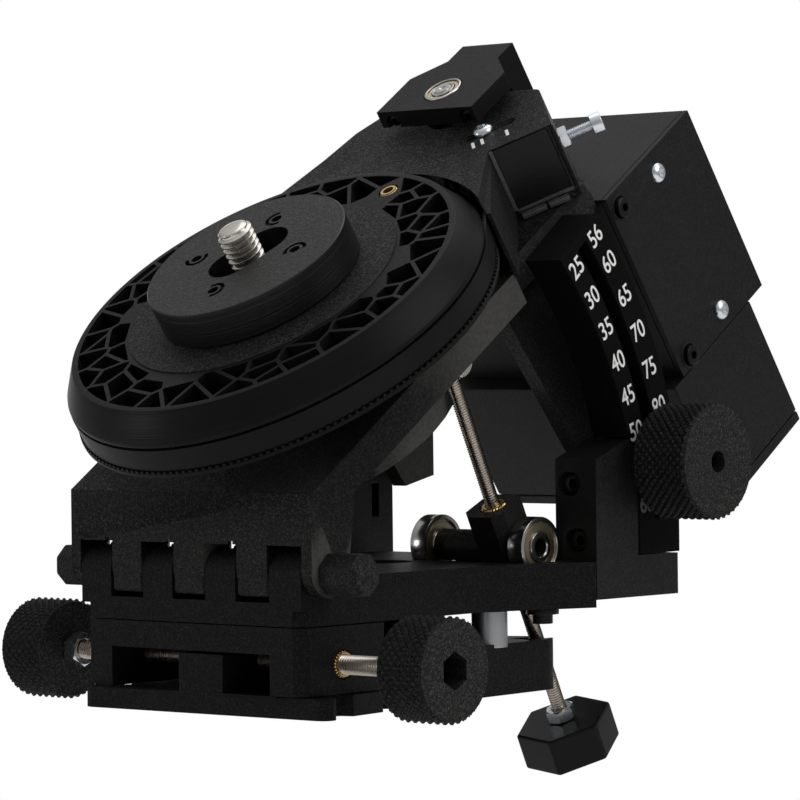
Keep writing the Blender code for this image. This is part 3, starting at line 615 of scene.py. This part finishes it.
def build_structure():
    refine("azimuth_base", PLA_Z, 0.35)
    refine("azimuth_block", PLA_Z, 0.30, cut=[block_mouth()])
    refine("hinge_cap_left", PLA_X, 0.25)
    refine("hinge_cap_right", PLA_X, 0.25)
    refine("clamp_bracket", SATIN_X, 1.1, 4, cut=[bracket_recess(1), bracket_recess(2)])
    refine("left_upright", SATIN_X, 0.6)
    refine("latitude_arc", SATIN_ARC, 0.7, 3)
    refine("altitude_trunnion", PLA_ROD, 0.35, cut=[trunnion_hollow()])
    refine("tilt_frame", PLA_N, 0.35, cut=hinge_gaps(4.2), place=HINGE)
    refine("hinge_plate", PLA_Z, 0.45, cut=hinge_gaps(5.5), place=HINGE)
    refine("top_bracket", SATIN_N, 0.3)
    refine("electronics_box", SATIN_X, 0.5)
    refine("electronics_cover", SATIN_X, 0.3)
    refine("battery_box", SATIN_X, 0.4)
    refine("battery_lid", SATIN_X, 0.4)
    refine("drive_motor", SATIN_N, 0.3)
    refine("drive_pulley", ALUMINIUM, 0.15)
    refine("polar_shaft", NICKEL, 0.2)
    refine("hinge_pin", STEEL, 0.25)
    refine("azimuth_bolt", STEEL, 0.2)
    refine("azimuth_washer", ZINC, 0.12)
    refine("azimuth_lock_nut", ZINC, 0.2)
    refine("tripod_insert", BRASS, 0.2)
    refine("altitude_pivot_barrel", NICKEL, 0.3)
    refine("plate_screw", BLACK_STEEL, 0.2)


# Hardware ---------------------------------------------------------------------------------------


def nut_mesh(across_flats, low, high, bore):
    """A hexagon nut with chamfered corners and countersunk bore."""
    sides = 40
    corner = across_flats / math.sqrt(3)
    nut = new_object("nut", prism(hexagon(across_flats), low, high))
    c = (corner - across_flats / 2) * 0.62
    face, rim = corner - c * 1.6, corner + 0.02
    outside = [(0, low), (face, low), (rim, low + c), (rim, high - c), (face, high), (0, high)]
    carve(nut, [turned(outside, sides)], "INTERSECT")
    sink = 0.45
    mouth = bore + sink + 1
    hole = turned([(0, low - 1), (mouth, low - 1), (bore, low + sink), (bore, high - sink),
                   (mouth, high + 1), (0, high + 1)], sides)
    carve(nut, [hole])
    mesh = nut.data
    bpy.data.objects.remove(nut)
    return mesh


def along_screw(node, way):
    """A station at the near end of a node on the azimuth screws' axis, and the node's length."""
    low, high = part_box(node)
    start = low if way > 0 else high
    place = station((start.x, SCREW_POINT.y, SCREW_POINT.z), UP, (way, 0, 0))
    return place, (high.x - low.x) / MM


def build_azimuth_screws():
    for side, word in ((1, "right"), (-1, "left")):
        node = "azimuth_screw_" + word
        place, length = along_screw(node, side)
        rebuild(node + "_thread", node, place, thread(2.5, 0.8, 0.0, length, 28), STEEL, sharp=50)
        node = "azimuth_knob_" + word
        place, length = along_screw(node, side)
        cut = [prism(hexagon(8.4), 6.5, length + 2), prism(circle(2.6, 32), -1, 7.0)]
        rebuild(node + "_knurled", node, place, knurl(12.45, length, 34, 2.4, 0.84, 0.25), PLA_X,
                cut=cut, sharp=45)
        node = "azimuth_jam_nut_" + word
        place = along_screw(node, side)[0]
        rebuild(node + "_chamfered", node, place, nut_mesh(8.0, 0.0, 4.0, 2.52), ZINC, sharp=20)
        node = "azimuth_insert_" + word
        place = along_screw(node, -side)[0]
        rebuild(node + "_knurled", node, place, insert_mesh(3.5, 8.0, 2.6), BRASS, sharp=30)


def insert_mesh(r, length, bore, teeth=24):
    """A heat-set insert: straight-knurled bands with a plain neck, open end at zero."""
    def radius(turn, h):
        tooth = abs((turn * teeth) % 1.0 - 0.5) * 2
        if h < 0.35 or 0.42 * length < h < 0.55 * length or h > length - 0.4:
            return r - 0.42
        return r - 0.38 * tooth
    return grid_tube(radius, length, 28, teeth * 4, bore)


def build_altitude_screw():
    rebuild("altitude_screw_thread", "altitude_screw", ROD, thread(2.0, 0.7, -60.0, 57.4), STEEL, sharp=50)
    rebuild("altitude_lock_nut_chamfered", "altitude_lock_nut", ROD, nut_mesh(7.0, -52.3, -49.1, 2.05), ZINC,
            sharp=20)
    top = Matrix.Translation((0, 0, 12.5)) @ Matrix.Rotation(math.pi, 4, "X")
    rebuild("trunnion_insert_knurled", "trunnion_insert", ROD, transformed(insert_mesh(3.5, 8.2, 2.3), top),
            BRASS, sharp=30)
    for node in ("trunnion_bearing_left", "trunnion_bearing_right"):
        low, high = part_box(node)
        centre = (low + high) / 2
        place = station((low.x, centre.y, centre.z), UP, RIGHT)
        build_bearing(node, place, 8.0, 2.5, 5.0)


def build_spacer():
    """The bright turned sleeve round the post that carries the plate behind the hinge."""
    post = HINGE @ Matrix.Translation((32.0, 72.0, 0))
    bore, outside, foot, top = 4.3, 4.75, -22.9, -13.35
    profile = [(bore, foot), (4.6, foot), (outside, foot + 0.2), (outside, top - 0.15), (4.6, top),
               (bore, top)]
    make("spacer_sleeve", "azimuth_block", post, turned(profile), ALUMINIUM)


def build_hex_knob():
    rebuild("altitude_knob_hexagon", "altitude_knob", ROD, prism(hexagon(23.4, 50), -63.0, -52.6), SATIN_ROD,
            edge=0.75, segments=3)


def build_bearing(node, place, outer, bore, width):
    """Outer and inner rings with rounded corners and a recessed shield on each side."""
    race_in, race_out = bore + (outer - bore) * 0.28, outer - (outer - bore) * 0.24
    c = 0.3
    d = c * 0.3
    profile = [(race_out, 0.15), (race_out + 0.15, 0.0), (outer - c, 0.0), (outer - d, d),
               (outer, c), (outer, width - c), (outer - d, width - d),
               (outer - c, width), (race_out + 0.15, width), (race_out, width - 0.15)]
    rebuild(node + "_outer_ring", node, place, turned(profile), RING_STEEL, sharp=28)
    profile = [(bore, c), (bore + c, 0.0), (race_in - 0.12, 0.0), (race_in, 0.12), (race_in, width - 0.12),
               (race_in - 0.12, width), (bore + c, width), (bore, width - c)]
    make(node + "_inner_ring", node, place, turned(profile), RING_STEEL, sharp=28)
    step = (race_out - race_in) * 0.26
    low_side = [(race_in + 0.12, 0.7), (race_in + step * 0.5, 0.7), (race_in + step * 0.7, 0.4),
                (race_out - step, 0.4), (race_out - step * 0.8, 0.75), (race_out + 0.05, 0.75)]
    profile = low_side + [(r, width - h) for r, h in reversed(low_side)]
    make(node + "_shields", node, place, turned(profile), SHIELD, sharp=24)


def socket_head(r, low, high, across_flats, domed=False):
    """A screw head standing on low with a hexagon socket in its top."""
    height = high - low
    if domed:
        angles = [math.radians(8 * k) for k in range(8)]
        rim = [(r * math.cos(a), low + 0.3 + (height - 0.3) * math.sin(a)) for a in angles]
        profile = [(0, low), (r, low), *rim, (0, high * 0.97 + low * 0.03)]
    else:
        profile = [(0, low), (r - 0.1, low), (r, low + 0.1), (r, high - 0.3), (r - 0.08, high - 0.12),
                   (r - 0.3, high), (0, high)]
    head = new_object("head", turned(profile, 40))
    carve(head, [prism(hexagon(across_flats), high - height * 0.55, high + 1.0)])
    mesh = head.data
    bpy.data.objects.remove(head)
    return mesh


def screw_piece(node, place, r, low, high, shank_r, foot, across_flats, material, domed=False):
    """A screw with its head from low to high and its threaded shank down to foot."""
    rebuild(node + "_head", node, place, socket_head(r, low, high, across_flats, domed), material, sharp=32)
    make(node + "_thread", node, place, thread(shank_r, 0.5, foot, low + 0.05, 20), material, sharp=50)


def build_cover_screws():
    """Two cap screws in raised rings and two domed screws hold the electronics cover."""
    for number, domed in ((1, False), (2, True), (3, False), (4, True)):
        node = "cover_%s_screw_%d" % ("button" if domed else "cap", number)
        low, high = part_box(node)
        centre = (low + high) / 2
        length = (high.x - low.x) / MM
        place = station((low.x, centre.y, centre.z), (0, 1, 0), RIGHT)
        head, material = (1.9, ZINC) if domed else (2.4, BLACK_STEEL)
        screw_piece(node, place, 2.8, length - head, length, 1.45, 0.0, 2.1, material, domed)
        if not domed:
            foot, top = length - 1.9, length - 1.3
            profile = [(3.1, foot), (3.75, foot), (3.75, top - 0.2), (3.55, top), (3.1, top)]
            make(node + "_ring", node, place, turned(profile, 48), SATIN_X)


def build_bracket_screws():
    for number in (1, 2):
        node = "bracket_screw_%d" % number
        low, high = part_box(node)
        centre = (low + high) / 2
        length = (high.y - low.y) / MM
        place = station((centre.x, high.y, centre.z), RIGHT, (0, -1, 0))
        screw_piece(node, place, 2.75, length - 3.0, length, 1.45, 0.0, 2.5, BLACK_STEEL)


def build_tension_screws():
    place = PLATE @ Matrix.Translation((17.8, 137.5, 0))
    screw_piece("tension_lock_screw", place, 2.75, 42.15, 44.2, 1.4, 39.5, 2.0, ZINC, True)
    screw_piece("tension_screw", TENSION, 2.75, 9.5, 12.5, 1.45, -2.0, 2.5, ZINC)
    rebuild("tension_nut_chamfered", "tension_nut", TENSION, nut_mesh(5.5, 0.3, 2.7, 1.55), ZINC, sharp=20)


def build_clamp_screw():
    low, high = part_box("clamp_screw")
    place = station((low.x, CLAMP.translation.y, CLAMP.translation.z), UP, RIGHT)
    length = (high.x - low.x) / MM
    rebuild("clamp_screw_thread", "clamp_screw", place, thread(2.0, 0.7, 0.0, length), STEEL, sharp=50)


def build_bracket_front_screws():
    facing = Matrix.Rotation(math.radians(90), 4, "X")
    for number, x in enumerate((-12.5, 13.8), 1):
        place = PLATE @ Matrix.Translation((x, 139.6, 46.6)) @ facing
        make("bracket_front_screw_%d" % number, "top_bracket", place, socket_head(1.7, -1.5, 1.0, 1.6),
             BLACK_STEEL)


def build_small_screws():
    build_cover_screws()
    build_bracket_screws()
    build_tension_screws()
    build_clamp_screw()
    build_bracket_front_screws()


def build_drive_bearing():
    build_bearing("drive_bearing", DRIVE @ Matrix.Translation((0, 0, 46.3)), 5.45, 2.5, 4.0)
    profile = [(0, 15.0), (2.25, 15.0), (2.45, 15.2), (2.45, 50.3), (2.2, 50.6), (1.0, 50.6), (0.4, 50.1),
               (0, 50.1)]
    rebuild("drive_shaft_turned", "drive_shaft", DRIVE, turned(profile, 48), RING_STEEL, sharp=30)


def build_hinge_details():
    """Square lower noses on the frame's knuckles and a low sill that closes the base's seam."""
    inset = 0.02
    for index in (1, 3, 5):
        left = -HINGE_HALF + KNUCKLE_PITCH * index
        nose = block(left + inset, left + KNUCKLE_PITCH - inset, -7.48, -2.5, -5.9, 0.5)
        make("hinge_nose_%d" % index, "tilt_frame", HINGE, nose, PLA_N, edge=1.1, segments=3)
    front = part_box("azimuth_base")[0].y / MM
    sill = block(-30.0, 30.0, front + 2.0, front + 4.0, 7.2, 7.58)
    make("azimuth_base_sill", "azimuth_base", WORLD_MM, sill, PLA_Z, edge=0.05)


def build_pod_details():
    """Edge strips, sill and scale marks round the motor bay."""
    slide = math.atan2(SLIDE_AXIS.dot(POLAR.cross(X_AXIS)), SLIDE_AXIS.x)
    lean = Matrix.Rotation(slide, 4, "Z")
    pod = PLATE @ Matrix.Translation((26.0, 127.5, 0)) @ lean
    # The left and foot strips and both sills use the lighter grey print as a painted highlight.
    strips = (("left", PAINTED_HIGHLIGHT_PRINT, (0.0, 1.1, -0.55, 0.3, 23.0, 41.7)),
              ("right", PLA_N, (16.7, 17.3, -0.35, 0.3, 22.0, 41.7)),
              ("corner", PLA_N, (17.8, 18.6, -0.35, 0.3, 22.0, 41.7)),
              ("foot", PAINTED_HIGHLIGHT_PRINT, (1.0, 17.0, -0.5, 0.3, 22.2, 23.2)))
    for word, material, limits in strips:
        make("motor_bay_strip_" + word, "tilt_frame", pod, block(*limits), material, edge=0.12)
    make("motor_bay_wall", "tilt_frame", pod, block(1.2, 16.6, -0.25, 0.3, 23.3, 41.6), GLOSS_N, edge=0.1)
    for number, (x0, x1) in enumerate(((1.5, 8.5), (9.2, 15.0)), 1):
        make("motor_bay_sill_%d" % number, "tilt_frame", pod, block(x0, x1, -3.4, -1.2, 21.0, 22.4), PAINTED_HIGHLIGHT_PRINT,
             edge=0.3)
    for number, (x, u) in enumerate(((18.3, 131.3), (20.2, 133.1), (26.2, 137.0)), 1):
        place = PLATE @ Matrix.Translation((x, u, 42.0)) @ lean
        make("tension_mark_%d" % number, "tilt_frame", place, block(-0.45, 0.45, -2.3, 1.3, -0.1, 0.12),
             WHITE, edge=0.05)


# Disc, puck, belt, clamp knob and numbers ------------------------------------------------------

WEB_INNER = 38.6
WEB_OUTER = 52.3
WEB_HALF_WALL = 0.55
WEB_RINGS = ((39.9, 22), (45.2, 25), (50.6, 29))
WEB_REACH = 12


def web_seeds(draws):
    """Loosely scattered cell centres on three rings."""
    seeds = []
    for ring, (r, count) in enumerate(WEB_RINGS):
        for k in range(count):
            turn = k + 0.5 * (ring % 2) + draws.uniform(-0.42, 0.42)
            a = 2 * math.pi * turn / count
            reach = r + draws.uniform(-2.3, 2.3)
            seeds.append((reach * math.cos(a), reach * math.sin(a)))
    return seeds


def web_cell(seed, seeds):
    """The room that is nearer to one seed than to any other, less half a wall all round."""
    sx, sy = seed
    left, right, low, high = sx - WEB_REACH, sx + WEB_REACH, sy - WEB_REACH, sy + WEB_REACH
    cell = [(left, low), (right, low), (right, high), (left, high)]
    for other in seeds:
        dx, dy = other[0] - sx, other[1] - sy
        gap = math.hypot(dx, dy)
        if other == seed or gap > 2 * WEB_REACH:
            continue
        nx, ny = dx / gap, dy / gap
        cell = clip(cell, nx, ny, nx * (sx + dx / 2) + ny * (sy + dy / 2) - WEB_HALF_WALL)
    turn = math.atan2(sy, sx)
    for k in range(-3, 4):
        a = turn + k * 0.09
        cell = clip(cell, math.cos(a), math.sin(a), WEB_OUTER)
    return clip(cell, -math.cos(turn), -math.sin(turn), -WEB_INNER / math.cos(0.05))


def disc_web():
    """Pockets of the disc's web: shrunken Voronoi cells that leave room for the insert."""
    seeds = web_seeds(random.Random(7))
    pockets = []
    for seed in seeds:
        cell = web_cell(seed, seeds)
        if len(cell) < 3 or area(cell) <= 2.0 or math.hypot(*seed) <= WEB_INNER:
            continue
        middle = [sum(values) / len(cell) for values in zip(*cell)]
        if math.dist(middle, INSERT) > 5.2:
            pockets.append(cell)
    return pockets


def clip(polygon, nx, ny, limit):
    """Keeps the part of a polygon where nx x + ny y is at most the limit."""
    out = []
    for (ax, ay), (bx, by) in zip(polygon, polygon[1:] + polygon[:1]):
        da, db = nx * ax + ny * ay - limit, nx * bx + ny * by - limit
        if da <= 0:
            out.append((ax, ay))
        if da * db < 0:
            t = da / (da - db)
            out.append((ax + (bx - ax) * t, ay + (by - ay) * t))
    clean = []
    for point in out:
        if not clean or math.dist(point, clean[-1]) > 0.02:
            clean.append(point)
    if len(clean) > 1 and math.dist(clean[0], clean[-1]) < 0.02:
        clean.pop()
    return clean


def area(polygon):
    total = 0.0
    for (ax, ay), (bx, by) in zip(polygon, polygon[1:] + polygon[:1]):
        total += ax * by - bx * ay
    return abs(total) / 2


def toothed(teeth, pattern):
    """A round outline whose radius repeats a pattern of (share of a tooth, radius)."""
    points = []
    for k in range(teeth):
        for share, r in pattern:
            a = 2 * math.pi * (k + share) / teeth
            points.append((r * math.cos(a), r * math.sin(a)))
    return points


def build_disc():
    profile = [(4.2, 23.0), (30.0, 23.0), (30.0, 30.0), (59.2, 30.0), (59.5, 30.2), (59.5, 30.9),
               (59.3, 31.1), (57.3, 31.2), (57.3, 38.5), (58.45, 38.5), (58.7, 38.7), (58.75, 39.5),
               (58.55, 40.0), (54.35, 46.45), (54.05, 46.73), (53.7, 46.8), (4.2, 46.8)]
    pockets = joined([prism(cell, 34.0, 48.0) for cell in disc_web()])
    insert_hole = prism(circle(2.8, 32, *INSERT), 39.0, 50.0)
    rebuild("camera_disc_web", "camera_disc", DISC, turned(profile, DISC_TEETH), SATIN_N,
            cut=[pockets, insert_hole], sharp=28)
    profile = [(27.0, 46.7), (37.5, 46.7), (37.75, 46.9), (37.6, 47.15), (27.0, 47.2)]
    make("camera_disc_hub_face", "camera_disc", DISC, turned(profile, 128), PLA_N, sharp=28)
    teeth = toothed(DISC_TEETH, ((0.0, 57.25), (0.2, 57.25), (0.35, 58.0), (0.65, 58.0), (0.8, 57.25)))
    make("camera_disc_teeth", "camera_disc", DISC, prism(teeth, 31.15, 38.45), SATIN_N, sharp=20)
    notches = toothed(DISC_TEETH, ((0.0, 58.3), (0.42, 58.3), (0.5, 59.35), (0.92, 59.35)))
    make("camera_disc_notches", "camera_disc", DISC, prism(notches, 30.85, 31.75), SATIN_N, sharp=20)
    insert = transformed(insert_mesh(2.6, 6.5, 1.5, 18), Matrix.Rotation(math.pi, 4, "X"))
    rebuild("disc_insert_knurled", "disc_insert", DISC, shifted(insert, *INSERT, 46.95), BRASS, sharp=30)


def slot_outline(centre, half, radius, angle):
    """A slot with round ends, turned by an angle about its centre."""
    degrees = math.degrees(angle)
    cx, cy = half * math.cos(angle), half * math.sin(angle)
    return (arc(centre[0] + cx, centre[1] + cy, radius, degrees - 90, degrees + 90, 12)
            + arc(centre[0] - cx, centre[1] - cy, radius, degrees + 90, degrees + 270, 12))


def crescent(cx, cy, r, width, start, sweep):
    outer = arc(cx, cy, r + width / 2, start, start + sweep, 12)
    inner = arc(cx, cy, r - width / 2, start + sweep, start, 12)
    return outer + inner


def build_puck():
    cut = [prism(slot_outline((0.4, 0.9), 5.2, 6.7, math.radians(67)), 40.0, 60.0)]
    for k in range(4):
        a = math.radians(5 + 90 * k)
        x, y = 16.4 * math.cos(a), 16.4 * math.sin(a)
        cut.append(prism(circle(1.5, 20, x, y), 52.0, 60.0))
        cut.append(prism(crescent(x, y, 2.75, 1.1, math.degrees(a) + 10, 215), 56.4, 60.0))
    profile = [(0, 47.5), (27.5, 47.5), (27.8, 47.8), (27.8, 57.2), (27.5, 57.5), (0, 57.5)]
    rebuild("camera_puck_top", "camera_puck", DISC, turned(profile, 128), PLA_PUCK, cut=cut, sharp=30)


def build_camera_stud():
    """The 3/8-16 stud with its rounded tip and the collar under it."""
    stud = thread(4.76, 1.5875, 50.0, 65.4, 40, 0.85, 0.5)
    rebuild("camera_screw_thread", "camera_screw", DISC, stud, NICKEL, sharp=50)
    tip = [(0, 64.0), (3.95, 64.0), (3.95, 65.2), (3.75, 65.5), (3.3, 65.72), (2.2, 65.9), (1.0, 65.98),
           (0, 66.0)]
    make("camera_screw_tip", "camera_screw", DISC, turned(tip, 48), NICKEL, sharp=40)
    collar = [(0, 47.8), (4.7, 47.8), (4.9, 48.0), (4.9, 50.2), (4.7, 50.4), (0, 50.4)]
    make("camera_screw_collar", "camera_screw", DISC, turned(collar, 48), NICKEL)


def along(start, end, share, way, offset):
    """A point on a straight run, moved sideways by an offset."""
    x = start[0] + (end[0] - start[0]) * share + offset * way[0]
    y = start[1] + (end[1] - start[1]) * share + offset * way[1]
    return (x, y)


def belt_loop(offset_at, samples):
    """The belt's loop round the disc and pulley; offset_at gives the offset for a length along it."""
    big, small, reach = 57.5, 6.0, 90.0
    lean = math.asin((big - small) / reach)
    run = reach * math.cos(lean)
    round_big = (math.pi + 2 * lean) * big
    round_small = (math.pi - 2 * lean) * small
    total = sum((round_big, run, round_small, run))
    right, left = (math.cos(lean), math.sin(lean)), (-math.cos(lean), math.sin(lean))
    disc_ends = [(big * x, big * y) for x, y in (right, left)]
    pulley_ends = [(small * x, reach + small * y) for x, y in (right, left)]
    points = []
    for k in range(samples):
        s = total * k / samples
        offset = offset_at(s / total)
        if s < round_big:
            a = math.pi - lean + s / big
            points.append(((big + offset) * math.cos(a), (big + offset) * math.sin(a)))
            continue
        s -= round_big
        if s < run:
            points.append(along(disc_ends[0], pulley_ends[0], s / run, right, offset))
            continue
        s -= run
        if s < round_small:
            a = lean + s / small
            points.append(((small + offset) * math.cos(a), reach + (small + offset) * math.sin(a)))
            continue
        s -= round_small
        points.append(along(pulley_ends[1], disc_ends[1], s / run, left, offset))
    return points


def ring_prism(outer, inner, low, high):
    """A closed band between two loops that have the same number of points."""
    bm = bmesh.new()
    rows = []
    for loop, h in ((outer, low), (outer, high), (inner, high), (inner, low)):
        rows.append([bm.verts.new((x, y, h)) for x, y in loop])
    rows.append(rows[0])
    count = len(outer)
    for lower, upper in zip(rows, rows[1:]):
        for i in range(count):
            j = (i + 1) % count
            bm.faces.new((lower[i], lower[j], upper[j], upper[i]))
    return mesh_from(bm)


def build_belt():
    teeth = 244
    samples = teeth * 4

    def inner_offset(t):
        return 0.75 - (0.42 if (t * teeth) % 1.0 < 0.5 else 0.0)
    outer = belt_loop(lambda t: 1.40, samples)
    inner = belt_loop(inner_offset, samples)
    rebuild("drive_belt_toothed", "drive_belt", DISC, ring_prism(outer, inner, 31.9, 38.0), BELT, sharp=30)


def build_clamp():
    low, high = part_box("clamp_knob")
    length = 17.1
    start = high.x - length * MM
    place = station((start, CLAMP.translation.y, CLAMP.translation.z), UP, RIGHT)
    rebuild("clamp_knob_knurled", "clamp_knob", place, knurl(14.55, length, 42, 2.3, 0.9, 0.3), PLA_X,
            cut=[prism(circle(2.9, 32), 3.0, length + 2)], sharp=45)
    face = (low.x - start) / MM
    neck = [(2.1, face), (4.2, face), (4.4, face + 0.2), (4.4, 0.2), (2.1, 0.2)]
    make("clamp_knob_neck", "clamp_knob", place, turned(neck, 48), PLA_X)


def digit_mesh(text, size, stretch):
    curve = bpy.data.curves.new("digits", "FONT")
    curve.body = text
    curve.size = size
    curve.align_x = "CENTER"
    curve.align_y = "CENTER"
    curve.extrude = 0.12
    curve.offset = 0.008 * size
    holder = new_object("digits", curve)
    bpy.context.view_layer.update()
    graph = bpy.context.evaluated_depsgraph_get()
    mesh = bpy.data.meshes.new_from_object(holder.evaluated_get(graph))
    bpy.data.objects.remove(holder)
    mesh.transform(Matrix.Diagonal((1.0, stretch, 1.0, 1.0)))
    return mesh


def build_digits():
    """The latitude scale: two rows of numbers round the hinge, the lowest one painted dark as shade under the
    knob.
    """
    face = (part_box("latitude_arc")[1].x - HINGE_POINT.x) / MM
    rows = (("inner", 114.2, 66.8, (25, 30, 35, 40, 45, 50, 55, 60)),
            ("outer", 125.6, 98.3, (56, 60, 65, 70, 75, 80)))
    for word, r, zero, labels in rows:
        for label in labels:
            angle = math.radians(zero - label)
            out = Vector((0, math.cos(angle), math.sin(angle)))
            up = Vector((0, -math.sin(angle), math.cos(angle)))
            turn = Matrix((out, up, X_AXIS)).transposed().to_4x4()
            spot = (face - 0.05, r * math.cos(angle), r * math.sin(angle))
            # The inner 60 is painted dark grey: painted shade where it sits under the knob.
            material = SHADED_WHITE_PAINT if (word, label) == ("inner", 60) else WHITE
            make("latitude_%s_%d" % (word, label), "latitude_arc", HINGE @ Matrix.Translation(spot) @ turn,
                 digit_mesh(str(label), 5.7, 1.22), material, sharp=30)


# Camera, lights and floor ----------------------------------------------------------------------


def view_axes():
    """The camera's right, up and backward directions: round to the right of the front, almost level."""
    azimuth, elevation, roll = math.radians(41.74), math.radians(0.64), math.radians(-0.65)
    back = Vector((math.sin(azimuth) * math.cos(elevation), -math.cos(azimuth) * math.cos(elevation),
                   math.sin(elevation)))
    level = Vector((math.cos(azimuth), math.sin(azimuth), 0.0))
    upright = back.cross(level)
    right = level * math.cos(roll) + upright * math.sin(roll)
    up = -level * math.sin(roll) + upright * math.cos(roll)
    return right, up, back


def build_camera(axes):
    camera = bpy.data.objects.new("camera", bpy.data.cameras.new("camera"))
    bpy.context.scene.collection.objects.link(camera)
    place = HINGE_POINT + Vector((0.7070, -0.7188, 0.0538))
    camera.matrix_world = Matrix.Translation(place) @ Matrix(axes).transposed().to_4x4()
    camera.data.lens = 178.36
    camera.data.sensor_width = 36.0
    camera.data.clip_start = 0.01
    bpy.context.scene.camera = camera


def softbox(name, direction, distance, size, power):
    """A square area light that faces the middle of the object."""
    light = bpy.data.objects.new(name, bpy.data.lights.new(name, "AREA"))
    light.data.shape = "RECTANGLE"
    light.data.size = size
    light.data.size_y = size
    light.data.energy = power
    light.data.color = (1.0, 1.0, 1.0)
    bpy.context.scene.collection.objects.link(light)
    low, high = CAD_BOX
    centre = (Vector(low) + Vector(high)) / 2
    way = Vector(direction).normalized()
    light.location = centre + way * distance
    light.rotation_euler = way.to_track_quat("Z", "Y").to_euler()


def world_ramp(tree, source, from_low, from_high, to_low, to_high):
    """Eases a value smoothly from one range into another."""
    ramp = tree.nodes.new("ShaderNodeMapRange")
    ramp.interpolation_type = "SMOOTHSTEP"
    tree.links.new(source, ramp.inputs[0])
    for index, limit in enumerate((from_low, from_high, to_low, to_high), 1):
        ramp.inputs[index].default_value = limit
    return ramp.outputs[0]


def build_world(back):
    """A white studio: bright behind the object, dim towards the viewer, a little brighter above."""
    world = bpy.data.worlds.new("studio")
    bpy.context.scene.world = world
    world.use_nodes = True
    tree = world.node_tree
    direction = tree.nodes.new("ShaderNodeTexCoord").outputs["Generated"]
    facing = tree.nodes.new("ShaderNodeVectorMath")
    facing.operation = "DOT_PRODUCT"
    facing.inputs[1].default_value = -back
    tree.links.new(direction, facing.inputs[0])
    split = tree.nodes.new("ShaderNodeSeparateXYZ")
    tree.links.new(direction, split.inputs[0])
    both = tree.nodes.new("ShaderNodeMath")
    both.operation = "ADD"
    tree.links.new(world_ramp(tree, facing.outputs["Value"], 0.80, 0.975, 0.32, 1.0), both.inputs[0])
    tree.links.new(world_ramp(tree, split.outputs["Z"], 0.30, 0.85, 0.0, 0.30), both.inputs[1])
    background = tree.nodes["Background"]
    tree.links.new(both.outputs[0], background.inputs["Strength"])
    background.inputs["Color"].default_value = (1.0, 1.0, 1.0, 1.0)


def build_floor():
    floor = new_object("floor", prism(circle(1100.0, 96), -10.0, 0.0))
    floor.data.transform(Matrix.Translation((0, 0, -0.16)) @ WORLD_MM)
    g = Graph("floor_paper")
    tone = g.noise(g.coordinates(), 3.0, 3.0)
    paper = g.mix_colour(tone, (0.86, 0.86, 0.86), (0.90, 0.90, 0.90))
    floor.data.materials.append(g.surface(Base_Color=paper, Roughness=0.9))


def build_camera_and_stage():
    axes = view_axes()
    build_camera(axes)
    softbox("key_right", (1.0, 0.15, 0.70), 1.3, 0.9, 6.3)
    softbox("top", (-0.1, 0.2, 1.0), 1.3, 1.2, 4.5)
    softbox("front_left", (-0.68, -0.75, 0.03), 1.6, 0.4, 2.0)
    build_world(axes[2])
    build_floor()
    bpy.context.scene.view_settings.view_transform = "Standard"


def dress_remaining():
    """Gives every CAD node that is still shown the material of its slot."""
    by_slot = {"black_print": PLA_Z, "black_cover": SATIN_X, "belt_rubber": BELT, "black_steel": BLACK_STEEL,
               "zinc": ZINC, "nickel_steel": STEEL, "bearing_steel": RING_STEEL, "brass": BRASS,
               "aluminium": ALUMINIUM}
    for node, piece in NODES.items():
        material = by_slot[SLOT_OF[node]]
        if not piece.data.materials:
            piece.data.materials.append(material)
        for slot in piece.material_slots:
            slot.material = material


build_camera_and_stage()
dress_remaining()
build_structure()
build_azimuth_screws()
build_altitude_screw()
build_hex_knob()
build_spacer()
build_disc()
build_puck()
build_camera_stud()
build_belt()
build_clamp()
build_digits()
build_small_screws()
build_drive_bearing()
build_pod_details()
build_hinge_details()
